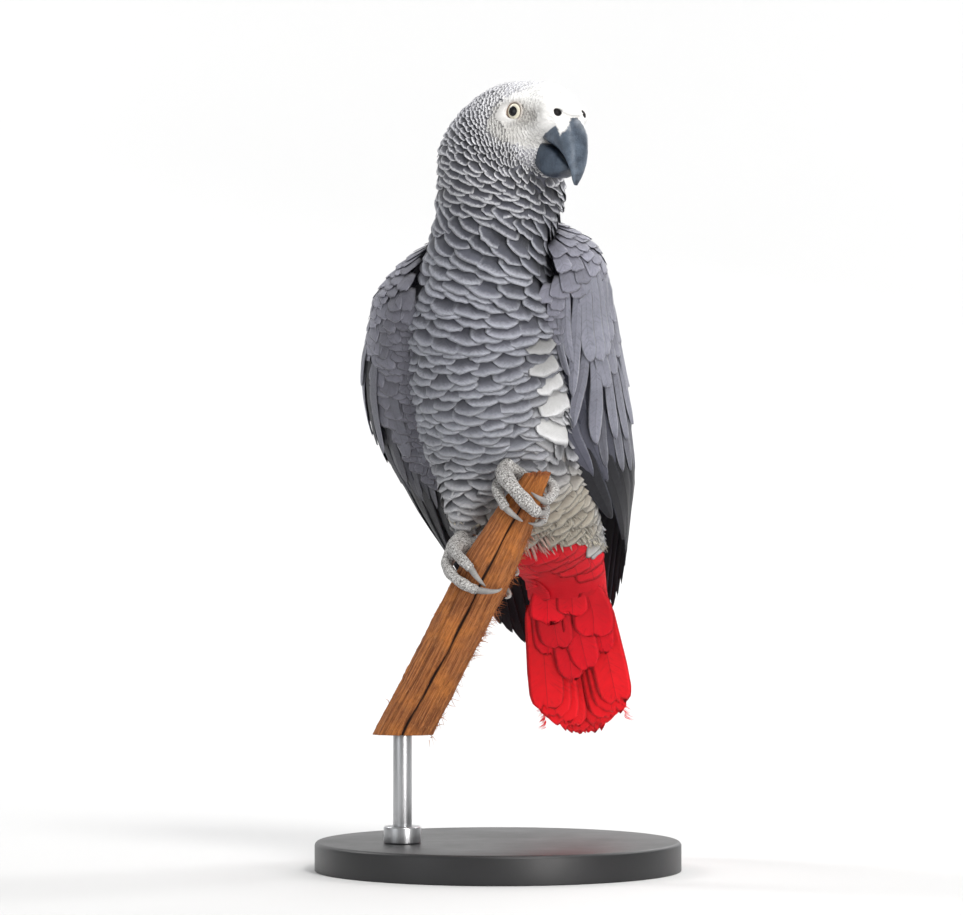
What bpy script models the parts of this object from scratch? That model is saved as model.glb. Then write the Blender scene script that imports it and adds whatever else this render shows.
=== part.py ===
"""A grey parrot, life size, gripping a cut length of branch on a plain display stand.

Metres, +Z up. The origin is the centre of the base's underside, and the bird's breast faces -Y.
The body is one loft along a bent spine, from the root of the bill to the root of the tail,
parted into head, neck, trunk and tail coverts by thin cuts. Each wing is a set of curved shells
round the trunk, each tail feather a thin plate, and each toe a tapered tube bent round the branch.
Dimensions are in millimetres and become metres when a node is made.
"""

import bmesh
import bpy
import numpy as np

MM = 0.001

# ---------------------------------------------------------------- the pose
TRUNK_CENTRE = (0.0, 0.0, 233.0)
BODY_LEAN = 22.0  # degrees that the breast leans forward of upright
BODY_ROLL = -13.0  # degrees that the trunk leans to the bird's right
BODY_YAW = -10.0  # degrees that the breast is turned to the bird's right
HEAD_CENTRE = (18.0, -42.0, 360.8)  # midway between the eyes
HEAD_YAW = -48.0  # degrees from +X to where the bill points, on its way to -Y

# ---------------------------------------------------------------- the body
# Rings of the spine: the frame that places it, its centre, half its width, and its depth
# towards the back and towards the breast. The head's frame is forward, left and up, and the
# body's is left, back and up.
SPINE = [
    ("head", (23.6, 0, -0.8), 7.2, 5.4, 3.5),
    ("head", (21.8, 0, -2.0), 11.8, 10.6, 6.8),
    ("head", (15.8, 0, -4.2), 14.6, 17.2, 10.0),
    ("head", (4, 0, -6), 17.0, 21.2, 19.0),
    ("head", (-9, -2, -10), 26.8, 26.6, 21.5),
    ("head", (-18.5, -3.6, -21), 34.0, 28.8, 25.0),
    ("head", (-22.5, -2, -37), 33.0, 27.6, 27.0),
    ("body", (13.0, 8.0, 75.0), 30.0, 28.0, 31.0),
    ("body", (6.5, 5.8, 55.0), 33.5, 31.0, 38.0),
    ("body", (1.3, 2.7, 32.6), 38.0, 34.0, 43.0),
    ("body", (-2.1, -0.2, -7.7), 38.5, 34.0, 43.0),
    ("body", (-2.3, 0.7, -45.4), 36.5, 31.0, 36.0),
    ("body", (3.2, 7.5, -78.9), 32.0, 23.0, 28.0),
    ("body", (9.0, 15.5, -104.0), 23.5, 11.0, 14.0),
    ("body", (7.6, 19.0, -124.0), 21.0, 6.0, 7.5),
]
SIDES_AROUND = 24
NODES_ON_SPINE = {  # name: first ring, last ring, rows of the loft, colour
    "head": (0.0, 4.6, 14, (0.78, 0.78, 0.76)),
    "neck": (4.6, 7.6, 8, (0.42, 0.43, 0.45)),
    "trunk": (7.6, 12.25, 13, (0.36, 0.37, 0.40)),
    "tail_coverts": (12.25, 14.0, 6, (0.62, 0.06, 0.05)),
}
CUT = 0.02  # half of a parting cut, in rings
CLEAR = 0.4  # left between a node and what is carved out for it

HEAD_PIECE_SIDES = 12  # round the bill and the eyes
BILL_COLOUR = (0.04, 0.045, 0.055)
EYE_COLOUR = (0.75, 0.70, 0.45)
EYE_RADIUS = 5.5
EYE_PLACE = (3.0, 13.9, -0.8)  # forward, left and up in the head

# ---------------------------------------------------------------- the bill, in the head's frame
# Sections of each half: where its ridge and its cutting edge run (forward, up), and half its width.
UPPER_BILL = [
    ((20.5, -1.5), (7.6, -12.6), 8.8),
    ((25.2, -3.0), (13.2, -15.4), 9.1),
    ((28.8, -8.6), (18.5, -17.6), 8.6),
    ((30.6, -16.0), (22.4, -20.6), 7.5),
    ((30.6, -22.8), (25.2, -24.6), 6.0),
    ((29.6, -29.6), (26.6, -29.6), 4.0),
    ((27.6, -35.8), (26.6, -35.0), 1.3),
]
LOWER_BILL = [
    ((7.0, -12.9), (6.6, -28.6), 8.3),
    ((12.6, -15.8), (11.8, -31.2), 8.6),
    ((17.6, -18.4), (16.8, -31.8), 7.9),
    ((21.4, -22.4), (20.6, -30.4), 6.2),
    ((24.2, -26.6), (23.4, -28.6), 2.6),
]

# ---------------------------------------------------------------- the wings, in the body's frame
# Arcs across a folded wing: height, the ellipse's centre (left, back) and half-axes, and the
# angles at its front and back edges, from the bird's side towards its back.
WING_ARCS = [
    (72.0, 10.5, 9.0, 31.0, 32.0, -15.0, 58.0),
    (60.0, 7.5, 9.5, 50.0, 37.0, -42.0, 69.0),
    (50.0, 5.0, 10.0, 58.0, 38.5, -50.0, 74.0),
    (25.0, -0.5, 10.5, 62.5, 39.0, -54.0, 77.0),
    (0.0, -3.5, 11.0, 65.0, 38.0, -52.0, 79.0),
    (-30.0, -3.5, 13.0, 63.5, 36.0, -44.0, 81.0),
    (-60.0, -1.5, 17.0, 57.5, 33.0, -30.0, 83.0),
    (-90.0, -1.0, 21.0, 48.5, 28.0, -10.0, 84.0),
    (-120.0, -2.0, 25.0, 41.0, 22.0, 5.0, 84.0),
    (-150.0, -3.5, 29.0, 34.0, 14.0, 14.0, 84.0),
    (-185.0, -1.0, 33.0, 14.0, 6.0, 28.0, 82.0),
]
WING_TOP = 66.0
COVERTS_END = 12.0
SECONDARIES_END = (-38.0, -66.0)  # heights at the front edge and at the back edge
PRIMARIES_TOP = -8.0
PRIMARIES_END = (-94.0, -180.0)
COVERT_THICK = 6.0
SECONDARY_THICK = 3.0
PRIMARY_THICK = 2.0
EDGE_THICK = 0.9
TIP_DEPTH = 3.5  # how far each rounded feather tip stands past the next
UNDER_TO = -84.0  # the height where the primaries have come out to the wing's outline
WING_COLOUR = (0.33, 0.34, 0.38)
FLIGHT_COLOUR = (0.05, 0.05, 0.065)

# ---------------------------------------------------------------- the tail, in the body's frame
TAIL_PAIRS = 6
TAIL_ROOT = (7.0, 19.4, -126.6)
TAIL_END = (0.8, 24.7, -203.0)
TAIL_FEATHER_WIDTH = 18.0
TAIL_FEATHER_THICK = 0.7
TAIL_SPREAD = 2.75  # from one pair's middle to the next, across the tail
TAIL_FEATHER_OUTLINE = [(0, 0.75), (0.15, 0.9), (0.7, 1), (0.86, 0.9), (0.95, 0.62), (1, 0.2)]
TAIL_LEVEL = 1.05  # from one feather to the next, through the tail
TAIL_FAN = 3.6  # degrees from the middle of the tail to its outermost feather
TAIL_COLOUR = (0.72, 0.03, 0.03)

# ---------------------------------------------------------------- the legs and feet
THIGHS = {  # points down each thigh's middle with its radius
    "thigh_right": [
        ((-8, 2, 204), 20),
        ((-12, -5, 186), 18),
        ((-15, -10, 171), 11),
        ((-16.5, -13, 163), 5.5),
    ],
    "thigh_left": [
        ((20, -10, 227), 14.5),
        ((20, -15.5, 214), 15.5),
        ((17.5, -18.5, 202), 11),
        ((15, -20, 192.5), 5.5),
    ],
}
SHANKS = {
    "shank_right": [((-17.0, -14.4, 160.2), 3.6), ((-18.6, -18.5, 158.6), 3.6), ((-20.6, -25.0, 155.4), 4.3)],
    "shank_left": [((16.4, -21.0, 189.0), 3.7), ((15.0, -21.4, 188.0), 3.8), ((12.6, -22.0, 187.4), 4.3)],
}
# Ways of the toes round the branch: place along it from its middle, angle round it from the bird's
# right (0) by its front (90) to its left (180), and height above the bark.
TOES = {
    "toe_left_2": [(15.6, -22, 8.4), (13.4, -2, 8.6), (11.0, 42, 6.6), (8.0, 84, 5.2), (5.8, 112, 4.6), (4.4, 134, 4.0)],
    "toe_left_3": [(8.6, -30, 6.4), (6.4, -2, 6.8), (2.4, 36, 4.2), (-0.2, 62, 3.5)],
    "toe_left_1": [(17.0, -120, 4.2), (17.0, -150, 4.8), (13.6, -184, 4.6), (10.4, -212, 4.0)],
    "toe_left_4": [(8.0, -120, 4.8), (6.4, -146, 4.3), (3.0, -168, 3.8), (0.4, -186, 3.4)],
    "toe_right_2": [(-31.0, 8, 5.6), (-31.6, 30, 4.6), (-32.4, 50, 3.6), (-33.0, 62, 3.5)],
    "toe_right_3": [(-38.2, -2, 6.4), (-40.0, 20, 5.0), (-41.0, 44, 3.8), (-41.0, 72, 3.6), (-40.4, 90, 3.5)],
    "toe_right_1": [(-33.0, -52, 4.4), (-34.0, -84, 3.8), (-36.0, -112, 3.6), (-38.2, -138, 3.4)],
    "toe_right_4": [(-25.6, -50, 4.4), (-25.0, -80, 3.8), (-25.6, -106, 3.5), (-27.0, -128, 3.4)],
}
CLAWS = {  # from each toe's end: turn round the branch, and move along it
    "toe_left_2": (38, 1.5),
    "toe_left_3": (44, -1.8),
    "toe_left_1": (-40, 1.0),
    "toe_left_4": (-36, -2.0),
    "toe_right_2": (34, -4.0),
    "toe_right_3": (42, 4.4),
    "toe_right_1": (-34, -2.2),
    "toe_right_4": (-30, -2.0),
}
TOE_RADII = {  # at the foot and at the claw
    "toe_left_2": (4.2, 3.0),
    "toe_left_3": (2.8, 2.3),
    "toe_left_1": (3.0, 2.4),
    "toe_left_4": (2.7, 2.2),
    "toe_right_2": (2.8, 2.3),
    "toe_right_3": (2.9, 2.4),
    "toe_right_1": (2.8, 2.3),
    "toe_right_4": (2.7, 2.2),
}
CLAW_RADIUS = 1.45
LEG_COLOUR = (0.50, 0.49, 0.47)
CLAW_COLOUR = (0.10, 0.095, 0.09)

# ---------------------------------------------------------------- the perch and the stand
BRANCH_LOW = (-45.6, -14.5, 66.0)  # the sawn lower end
BRANCH_MIDDLE = (9.6, -33.5, 173.1)  # under the upper foot, which the feet are measured from
BRANCH_TOP = 21.0  # from there to the broken upper end
BRANCH_RADII = [(-125.0, 12.6), (-60.0, 12.6), (-30.0, 12.2), (-8.0, 10.0), (4.0, 8.2), (12.0, 6.4), (21.0, 5.4)]
BRANCH_RINGS = (-95.0, -75.0, -55.0, -35.0, -15.0, -4.0, 4.0, 12.0)
BARK_LOBES = 0.6
BRANCH_COLOUR = (0.36, 0.17, 0.07)
BASE_RADIUS = 88.0
BASE_HEIGHT = 14.0
BASE_EDGE = 2.0
ROD_RADIUS = 4.5
COLLAR_RADIUS = 9.0
COLLAR_HEIGHT = 8.0
BASE_COLOUR = (0.05, 0.05, 0.05)
STEEL = (0.55, 0.56, 0.58)
CONTACT = 0.3


# ---------------------------------------------------------------- frames and curves
def unit(vectors):
    vectors = np.asarray(vectors, float)
    return vectors / np.linalg.norm(vectors, axis=-1, keepdims=True)


def turn(axis, degrees):
    """The matrix that turns points about the X, Y or Z axis."""
    c, s = np.cos(np.radians(degrees)), np.sin(np.radians(degrees))
    return {
        "x": np.array([[1, 0, 0], [0, c, -s], [0, s, c]]),
        "y": np.array([[c, 0, s], [0, 1, 0], [-s, 0, c]]),
        "z": np.array([[c, -s, 0], [s, c, 0], [0, 0, 1]]),
    }[axis]


BODY_AXES = turn("y", BODY_ROLL) @ turn("x", BODY_LEAN) @ turn("z", BODY_YAW)
HEAD_AXES = turn("z", HEAD_YAW)


def in_body(points):
    return np.asarray(TRUNK_CENTRE) + np.asarray(points, float) @ BODY_AXES.T


def in_head(points):
    return np.asarray(HEAD_CENTRE) + np.asarray(points, float) @ HEAD_AXES.T


def smooth_rows(rows, at):
    """A Catmull-Rom curve through the rows, read at fractional row numbers."""
    rows = np.asarray(rows, float)
    at = np.clip(np.asarray(at, float), 0, len(rows) - 1)
    i = np.clip(np.floor(at).astype(int), 0, len(rows) - 2)
    f = (at - i).reshape(at.shape + (1,) * (rows.ndim - 1))
    padded = np.concatenate([[2 * rows[0] - rows[1]], rows, [2 * rows[-1] - rows[-2]]])
    a, b, c, d = (padded[i + k] for k in range(4))
    return 0.5 * (
        2 * b + (c - a) * f + (2 * a - 5 * b + 4 * c - d) * f**2 + (3 * b - a - 3 * c + d) * f**3
    )


def tube_rings(path, radii, sides):
    """Circles of the given radii round each point of a path, without twist."""
    path = np.asarray(path, float)
    along = unit(np.gradient(path, axis=0))
    side = unit(np.cross(along[0], [0.3, 0.5, 0.81]))
    around = np.linspace(0, 2 * np.pi, sides, endpoint=False)
    rings = []
    for centre, way, radius in zip(path, along, radii):
        side = unit(side - way * (side @ way))
        up = np.cross(way, side)
        rings.append(centre + radius * (np.outer(np.cos(around), side) + np.outer(np.sin(around), up)))
    return np.array(rings)


# ---------------------------------------------------------------- nodes
def add_node(name, points, faces, colour, roughness=0.7, metallic=0.0):
    """Makes one named object of points in millimetres, with its faces turned outwards."""
    mesh = bpy.data.meshes.new(name)
    mesh.from_pydata((np.asarray(points) * MM).tolist(), [], [tuple(map(int, f)) for f in faces])
    work = bmesh.new()
    work.from_mesh(mesh)
    bmesh.ops.recalc_face_normals(work, faces=work.faces)
    work.to_mesh(mesh)
    work.free()
    mesh.shade_smooth()
    mesh.set_sharp_from_angle(angle=np.radians(40))
    node = bpy.data.objects.new(name, mesh)
    bpy.context.scene.collection.objects.link(node)
    material = bpy.data.materials.new(name)
    material.use_nodes = True
    shader = material.node_tree.nodes["Principled BSDF"]
    shader.inputs["Base Color"].default_value = (*colour, 1.0)
    shader.inputs["Roughness"].default_value = roughness
    shader.inputs["Metallic"].default_value = metallic
    mesh.materials.append(material)
    return node


def grid_quads(rows, columns, closed):
    i, j = np.meshgrid(np.arange(rows - 1), np.arange(columns - (not closed)), indexing="ij")
    right = (j + 1) % columns
    corners = (i * columns + j, i * columns + right, (i + 1) * columns + right, (i + 1) * columns + j)
    return np.stack(corners, -1).reshape(-1, 4)


def ring_solid(name, rings, colour, **finish):
    """A closed solid through rings of points, with a cap of triangles at each end."""
    rows, columns = rings.shape[:2]
    points = np.vstack([rings.reshape(-1, 3), rings[0].mean(0), rings[-1].mean(0)])
    first, last = rows * columns, rows * columns + 1
    here = np.arange(columns)
    there = (here + 1) % columns
    start = (rows - 1) * columns
    caps = [*zip([first] * columns, there, here), *zip([last] * columns, start + here, start + there)]
    return add_node(name, points, [*grid_quads(rows, columns, True), *caps], colour, **finish)


def shell_solid(name, outer, inner, colour, **finish):
    """A closed solid between two grids of one shape, joined along their edges."""
    rows, columns = outer.shape[:2]
    count = rows * columns
    front = grid_quads(rows, columns, False)
    index = np.arange(count).reshape(rows, columns)
    rim = np.concatenate([index[0], index[1:, -1], index[-1, -2::-1], index[-2:0:-1, 0]])
    walls = np.stack([rim, np.roll(rim, -1), np.roll(rim, -1) + count, rim + count], -1)
    points = np.vstack([outer.reshape(-1, 3), inner.reshape(-1, 3)])
    return add_node(name, points, [*front, *(front[:, ::-1] + count), *walls], colour, **finish)


def carve(node, cutter):
    """Takes a cutter, which no render shows, out of a node."""
    cutter.hide_render = True
    cutter.display_type = "WIRE"
    cut = node.modifiers.new("clear_of_" + cutter.name, "BOOLEAN")
    cut.operation = "DIFFERENCE"
    cut.solver = "EXACT"
    cut.object = cutter


# ---------------------------------------------------------------- the body's loft
def spine_rings(at, grow=0.0):
    """Rings of the loft at fractional ring numbers, grown outwards by a few tenths where asked.

    ring(a) = centre + width cos(a) left + depth(a) sin(a) back, where depth is the back's for
    sin(a) > 0 and the breast's for sin(a) < 0, and back is square to the spine and to left.
    """
    place = {"head": in_head, "body": in_body}
    lefts = {"head": HEAD_AXES[:, 1], "body": BODY_AXES[:, 0]}
    centres = smooth_rows([place[kind](centre) for kind, centre, *_ in SPINE], at)
    sizes = smooth_rows([sizes for _, _, *sizes in SPINE], at) + grow
    turned = np.pad([float(kind == "body") for kind, *_ in SPINE], 1, "edge")
    share = np.interp(at, np.arange(len(SPINE)), np.convolve(turned, [0.25, 0.5, 0.25], "valid"))
    step = 0.6
    before, after = (smooth_rows([place[k](c) for k, c, *_ in SPINE], at + d) for d in (-step, step))
    along = unit(after - before)
    left = lefts["head"] * (1 - share[:, None]) + lefts["body"] * share[:, None]
    left = unit(left - along * (left * along).sum(1, keepdims=True))
    back = np.cross(left, along)
    around = np.linspace(0, 2 * np.pi, SIDES_AROUND, endpoint=False)
    cos, sin = np.cos(around), np.sin(around)
    depth = np.where(sin > 0, sizes[:, 1:2], sizes[:, 2:3])
    return (
        centres[:, None]
        + (sizes[:, 0:1] * cos)[..., None] * left[:, None]
        + (depth * sin)[..., None] * back[:, None]
    )


def make_body():
    nodes = {}
    for name, (start, end, rows, colour) in NODES_ON_SPINE.items():
        start += CUT if start > 0 else 0
        end -= CUT if end < len(SPINE) - 1 else 0
        nodes[name] = ring_solid(name, spine_rings(np.linspace(start, end, rows)), colour)
    return nodes


# ---------------------------------------------------------------- the head's own pieces
def bill_rings(sections, grow=0.0):
    """Each section is an egg shape between the ridge and the cutting edge, square to the head's left."""
    rows = [(*ridge, *edge, width) for ridge, edge, width in sections]
    rows = smooth_rows(rows, np.linspace(0, len(rows) - 1, 2 * len(rows) - 1))
    around = np.linspace(0, 2 * np.pi, HEAD_PIECE_SIDES, endpoint=False)
    rings = []
    for ridge_f, ridge_u, edge_f, edge_u, width in rows:
        ridge, edge = np.array([ridge_f, 0, ridge_u]), np.array([edge_f, 0, edge_u])
        middle, half = (ridge + edge) / 2, (ridge - edge) / 2
        half = half * (1 + grow / np.linalg.norm(half))
        across = np.outer(np.sin(around) * (width + grow), [0, 1, 0])
        rings.append(in_head(middle + np.outer(np.cos(around), half) + across))
    return np.array(rings)


def eye_rings(centre, radius):
    """A ball as rings about the head's sideways axis, its poles closed by the caps."""
    tilt = np.linspace(0.12, np.pi - 0.12, 7)[:, None]
    around = np.linspace(0, 2 * np.pi, HEAD_PIECE_SIDES, endpoint=False)
    forward, up = np.sin(tilt) * np.cos(around), np.sin(tilt) * np.sin(around)
    return in_head(centre + radius * np.stack([forward, np.cos(tilt) + 0 * around, up], -1))


def make_head_pieces(head):
    for name, sections in (("upper_bill", UPPER_BILL), ("lower_bill", LOWER_BILL)):
        ring_solid(name, bill_rings(sections), BILL_COLOUR, roughness=0.4)
        carve(head, ring_solid(name + "_room", bill_rings(sections, CLEAR), BILL_COLOUR))
    for side, name in ((1, "eye_left"), (-1, "eye_right")):
        centre = (EYE_PLACE[0], side * EYE_PLACE[1], EYE_PLACE[2])
        ring_solid(name, eye_rings(centre, EYE_RADIUS), EYE_COLOUR, roughness=0.1)
        carve(head, ring_solid(name + "_room", eye_rings(centre, EYE_RADIUS + CLEAR), EYE_COLOUR))


# ---------------------------------------------------------------- the wings
def wing_points(heights, across, side, inset):
    """Points of a folded wing, where across runs from 0 at its front edge to 1 at its back edge.

    point = (cx + side (rx - inset) cos a, cy + (ry - inset) sin a, height), where a runs from
    the arc's front angle to its back angle and the ellipse follows the height.
    """
    table = np.array(WING_ARCS)[::-1]
    rows = np.interp(heights, table[:, 0], np.arange(len(table)))
    _, cx, cy, rx, ry, front, rear = np.moveaxis(smooth_rows(table, rows), -1, 0)
    angle = np.radians(front + (rear - front) * across)
    x = cx + side * (rx - inset) * np.cos(angle)
    y = cy + (ry - inset) * np.sin(angle)
    return in_body(np.stack([x, y, heights], -1))


def wing_layer(name, side, top, end, thick, colour, rows=6, tips=0, bow=1.0, under=0.0):
    """One layer of a wing, from its top height down to an end edge of rounded feather tips.

    The end edge runs from its front height to its back height as across**bow. A layer that starts
    under another is sunk by that much there, and comes out to the wing's outline below it.
    """
    across = np.linspace(0, 1, 3 * tips + 1 if tips else 13)[None]
    down = np.linspace(0, 1, rows)[:, None]
    lower = end[0] + (end[1] - end[0]) * across**bow
    lower = lower - TIP_DEPTH * np.abs(np.sin(np.pi * tips * across))
    heights = top + (lower - top) * down
    sunk = under * np.clip((heights - UNDER_TO) / (SECONDARIES_END[1] - UNDER_TO), 0, 1)
    across = across + 0.05 * sunk * (1 - across)
    lens = np.sqrt(np.sin(np.pi * np.clip(across, 0, 1)).clip(0)) * (1 - 0.6 * down**2)
    depth = EDGE_THICK + (thick - EDGE_THICK) * lens
    outer = wing_points(heights, across, side, sunk)
    inner = wing_points(heights, across, side, sunk + depth)
    return shell_solid(name, outer, inner, colour)


def make_wing(side, word):
    top, end = WING_TOP, (COVERTS_END, COVERTS_END)
    wing_layer(f"wing_coverts_{word}", side, top, end, COVERT_THICK, WING_COLOUR)
    top = COVERTS_END - CLEAR
    wing_layer(f"wing_secondaries_{word}", side, top, SECONDARIES_END, SECONDARY_THICK, WING_COLOUR, 5, 6)
    wing_layer(
        f"wing_primaries_{word}",
        side,
        PRIMARIES_TOP,
        PRIMARIES_END,
        PRIMARY_THICK,
        FLIGHT_COLOUR,
        rows=8,
        tips=6,
        bow=0.43,
        under=SECONDARY_THICK + 2 * CLEAR,
    )


# ---------------------------------------------------------------- the tail
def make_tail():
    """Plates that fan from the tail's root, the middle pair at the back and the others before it."""
    root, end = np.array(TAIL_ROOT), np.array(TAIL_END)
    middle = unit(end - root)
    length = np.linalg.norm(end - root)
    left = unit(np.array([1.0, 0, 0]) - middle * middle[0])
    back = np.cross(left, -middle)
    back = back if back[1] > 0 else -back
    down = np.linspace(0, 1, 7)
    width = TAIL_FEATHER_WIDTH * np.interp(down, *zip(*TAIL_FEATHER_OUTLINE))
    for pair in range(TAIL_PAIRS):
        for side, word in ((1, "left"), (-1, "right")):
            fan = np.radians(TAIL_FAN) * side * (pair + 0.4) / (TAIL_PAIRS - 0.6)
            way = middle * np.cos(fan) + left * np.sin(fan)
            across = left * np.cos(fan) - middle * np.sin(fan)
            level = (2 * pair + (side < 0)) * TAIL_LEVEL - 4.0
            reach = length * (1 - 0.02 * pair - 0.006 * pair**2)
            line = root - back * level + left * side * TAIL_SPREAD * pair + np.outer(down * reach, way)
            grid = line[:, None] + np.outer(width, [-0.5, 0, 0.5])[..., None] * across
            shell_solid(
                f"tail_feather_{word}_{pair + 1}",
                in_body(grid + back * TAIL_FEATHER_THICK / 2),
                in_body(grid - back * TAIL_FEATHER_THICK / 2),
                TAIL_COLOUR,
            )


# ---------------------------------------------------------------- the perch
def branch_frame():
    """The branch's middle, its way up, and the directions to the bird's right and to the front."""
    middle, low = np.array(BRANCH_MIDDLE), np.array(BRANCH_LOW)
    up = unit(middle - low)
    front = unit(np.array([0, -1.0, 0]) + up * up[1])
    right = np.cross(up, front)
    right = right if right[0] < 0 else -right
    return middle, up, right, front


def round_branch(along, angle, height):
    """Points beside the branch, by place along it, degrees round it and height above its bark."""
    middle, up, right, front = branch_frame()
    along, angle, height = (np.atleast_1d(np.asarray(v, float)) for v in (along, np.radians(angle), height))
    radius = np.interp(along, *zip(*BRANCH_RADII)) + height
    return (
        middle
        + np.outer(along, up)
        + np.outer(radius * np.cos(angle), right)
        + np.outer(radius * np.sin(angle), front)
    )


def make_perch():
    """The branch: a slightly lobed tube, sawn level below and broken to a peak at the front above."""
    _, up, _, _ = branch_frame()
    length = np.linalg.norm(np.array(BRANCH_MIDDLE) - BRANCH_LOW)
    around = np.arange(0, 360, 18)
    lobes = BARK_LOBES * np.sin(np.radians(3 * around))
    rings = [round_branch(along + 0 * around, around, lobes) for along in BRANCH_RINGS]
    sawn = round_branch(-length + 0 * around, around, lobes)
    sawn += np.outer((BRANCH_LOW[2] - sawn[:, 2]) / up[2], up)
    broken = round_branch(BRANCH_TOP + 0 * around, around, lobes)
    broken -= np.outer(1 + 3 * np.cos(np.radians(around)), up)
    ring_solid("perch", np.array([sawn, *rings, broken]), BRANCH_COLOUR, roughness=0.85)


# ---------------------------------------------------------------- the legs and feet
def make_leg(name, rows, sides, colour):
    points = smooth_rows([(*point, radius) for point, radius in rows], np.linspace(0, len(rows) - 1, 9))
    return ring_solid(name, tube_rings(points[:, :3], points[:, 3], sides), colour)


def make_feet():
    for name, rows in TOES.items():
        way = smooth_rows(rows, np.linspace(0, len(rows) - 1, 7))
        line = round_branch(*way.T)
        radii = np.linspace(*TOE_RADII[name], len(line))
        ring_solid(name, tube_rings(line, radii, 8), LEG_COLOUR)
        swing, shift = CLAWS[name]
        part = np.linspace(0, 1, 5)
        along, angle, height = way[-1]
        reach = np.radians(swing) * (np.interp(along, *zip(*BRANCH_RADII)) + height)
        step = 1.6 / abs(reach)
        claw = round_branch(
            along + shift * (part + step),
            angle + swing * (part + step),
            height + 0.6 * np.sin(np.pi * part) - (height - 1.1) * part**2,
        )
        ring_solid("claw" + name[3:], tube_rings(claw, CLAW_RADIUS * (1 - 0.8 * part), 7), CLAW_COLOUR)


# ---------------------------------------------------------------- the stand
def turned_solid(name, profile, centre, sides, colour, **finish):
    """A solid turned about a vertical axis from a profile of (radius, height) points."""
    around = np.linspace(0, 2 * np.pi, sides, endpoint=False)
    rings = [
        np.stack(
            [
                centre[0] + radius * np.cos(around),
                centre[1] + radius * np.sin(around),
                np.full(sides, height),
            ],
            -1,
        )
        for radius, height in profile
    ]
    return ring_solid(name, np.array(rings), colour, **finish)


def make_stand():
    edge, top = BASE_RADIUS - BASE_EDGE, BASE_HEIGHT - BASE_EDGE
    turned_solid(
        "stand_base",
        [(BASE_RADIUS, 0), (BASE_RADIUS, top), (edge + 1.4, top + 1.4), (edge, BASE_HEIGHT)],
        (0, 0),
        40,
        BASE_COLOUR,
        roughness=0.5,
    )
    place = BRANCH_LOW[:2]
    collar_top = BASE_HEIGHT + CONTACT + COLLAR_HEIGHT
    turned_solid(
        "stand_collar",
        [
            (COLLAR_RADIUS, BASE_HEIGHT + CONTACT),
            (COLLAR_RADIUS, collar_top - 1),
            (COLLAR_RADIUS - 1, collar_top),
        ],
        place,
        20,
        STEEL,
        roughness=0.3,
        metallic=1.0,
    )
    turned_solid(
        "stand_rod",
        [(ROD_RADIUS, collar_top + CONTACT), (ROD_RADIUS, BRANCH_LOW[2] - CONTACT)],
        place,
        20,
        STEEL,
        roughness=0.3,
        metallic=1.0,
    )


def main():
    for old in list(bpy.data.objects):
        bpy.data.objects.remove(old, do_unlink=True)
    body = make_body()
    make_head_pieces(body["head"])
    trunk_room = ring_solid("trunk_room", spine_rings(np.linspace(7.3, 12.6, 16), CLEAR), (0.3, 0.3, 0.3))
    for side, word in ((1, "left"), (-1, "right")):
        make_wing(side, word)
    make_tail()
    make_perch()
    for name, rows in THIGHS.items():
        carve(make_leg(name, rows, 16, (0.42, 0.43, 0.45)), trunk_room)
    for name, rows in SHANKS.items():
        carve(make_leg(name, rows, 10, LEG_COLOUR), trunk_room)
    make_feet()
    make_stand()


main()
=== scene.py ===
import bpy
import numpy as np
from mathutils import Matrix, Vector


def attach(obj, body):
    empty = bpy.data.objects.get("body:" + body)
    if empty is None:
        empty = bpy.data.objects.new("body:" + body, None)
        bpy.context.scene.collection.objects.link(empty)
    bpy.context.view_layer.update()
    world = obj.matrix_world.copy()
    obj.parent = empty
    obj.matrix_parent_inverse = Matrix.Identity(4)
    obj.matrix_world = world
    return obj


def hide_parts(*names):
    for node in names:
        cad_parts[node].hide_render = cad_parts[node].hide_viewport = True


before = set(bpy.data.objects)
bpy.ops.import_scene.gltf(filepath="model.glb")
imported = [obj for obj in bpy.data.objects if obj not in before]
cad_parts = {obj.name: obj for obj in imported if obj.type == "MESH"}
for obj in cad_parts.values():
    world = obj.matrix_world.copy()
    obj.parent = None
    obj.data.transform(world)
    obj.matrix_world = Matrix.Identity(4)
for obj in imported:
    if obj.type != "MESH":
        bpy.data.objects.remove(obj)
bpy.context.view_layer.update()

# A grey parrot with separate feathers, on a branch and a plain display stand.
# Lengths are in millimetres and become metres when a mesh is made. Left and right are the bird's.
MM = 0.001

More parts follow.
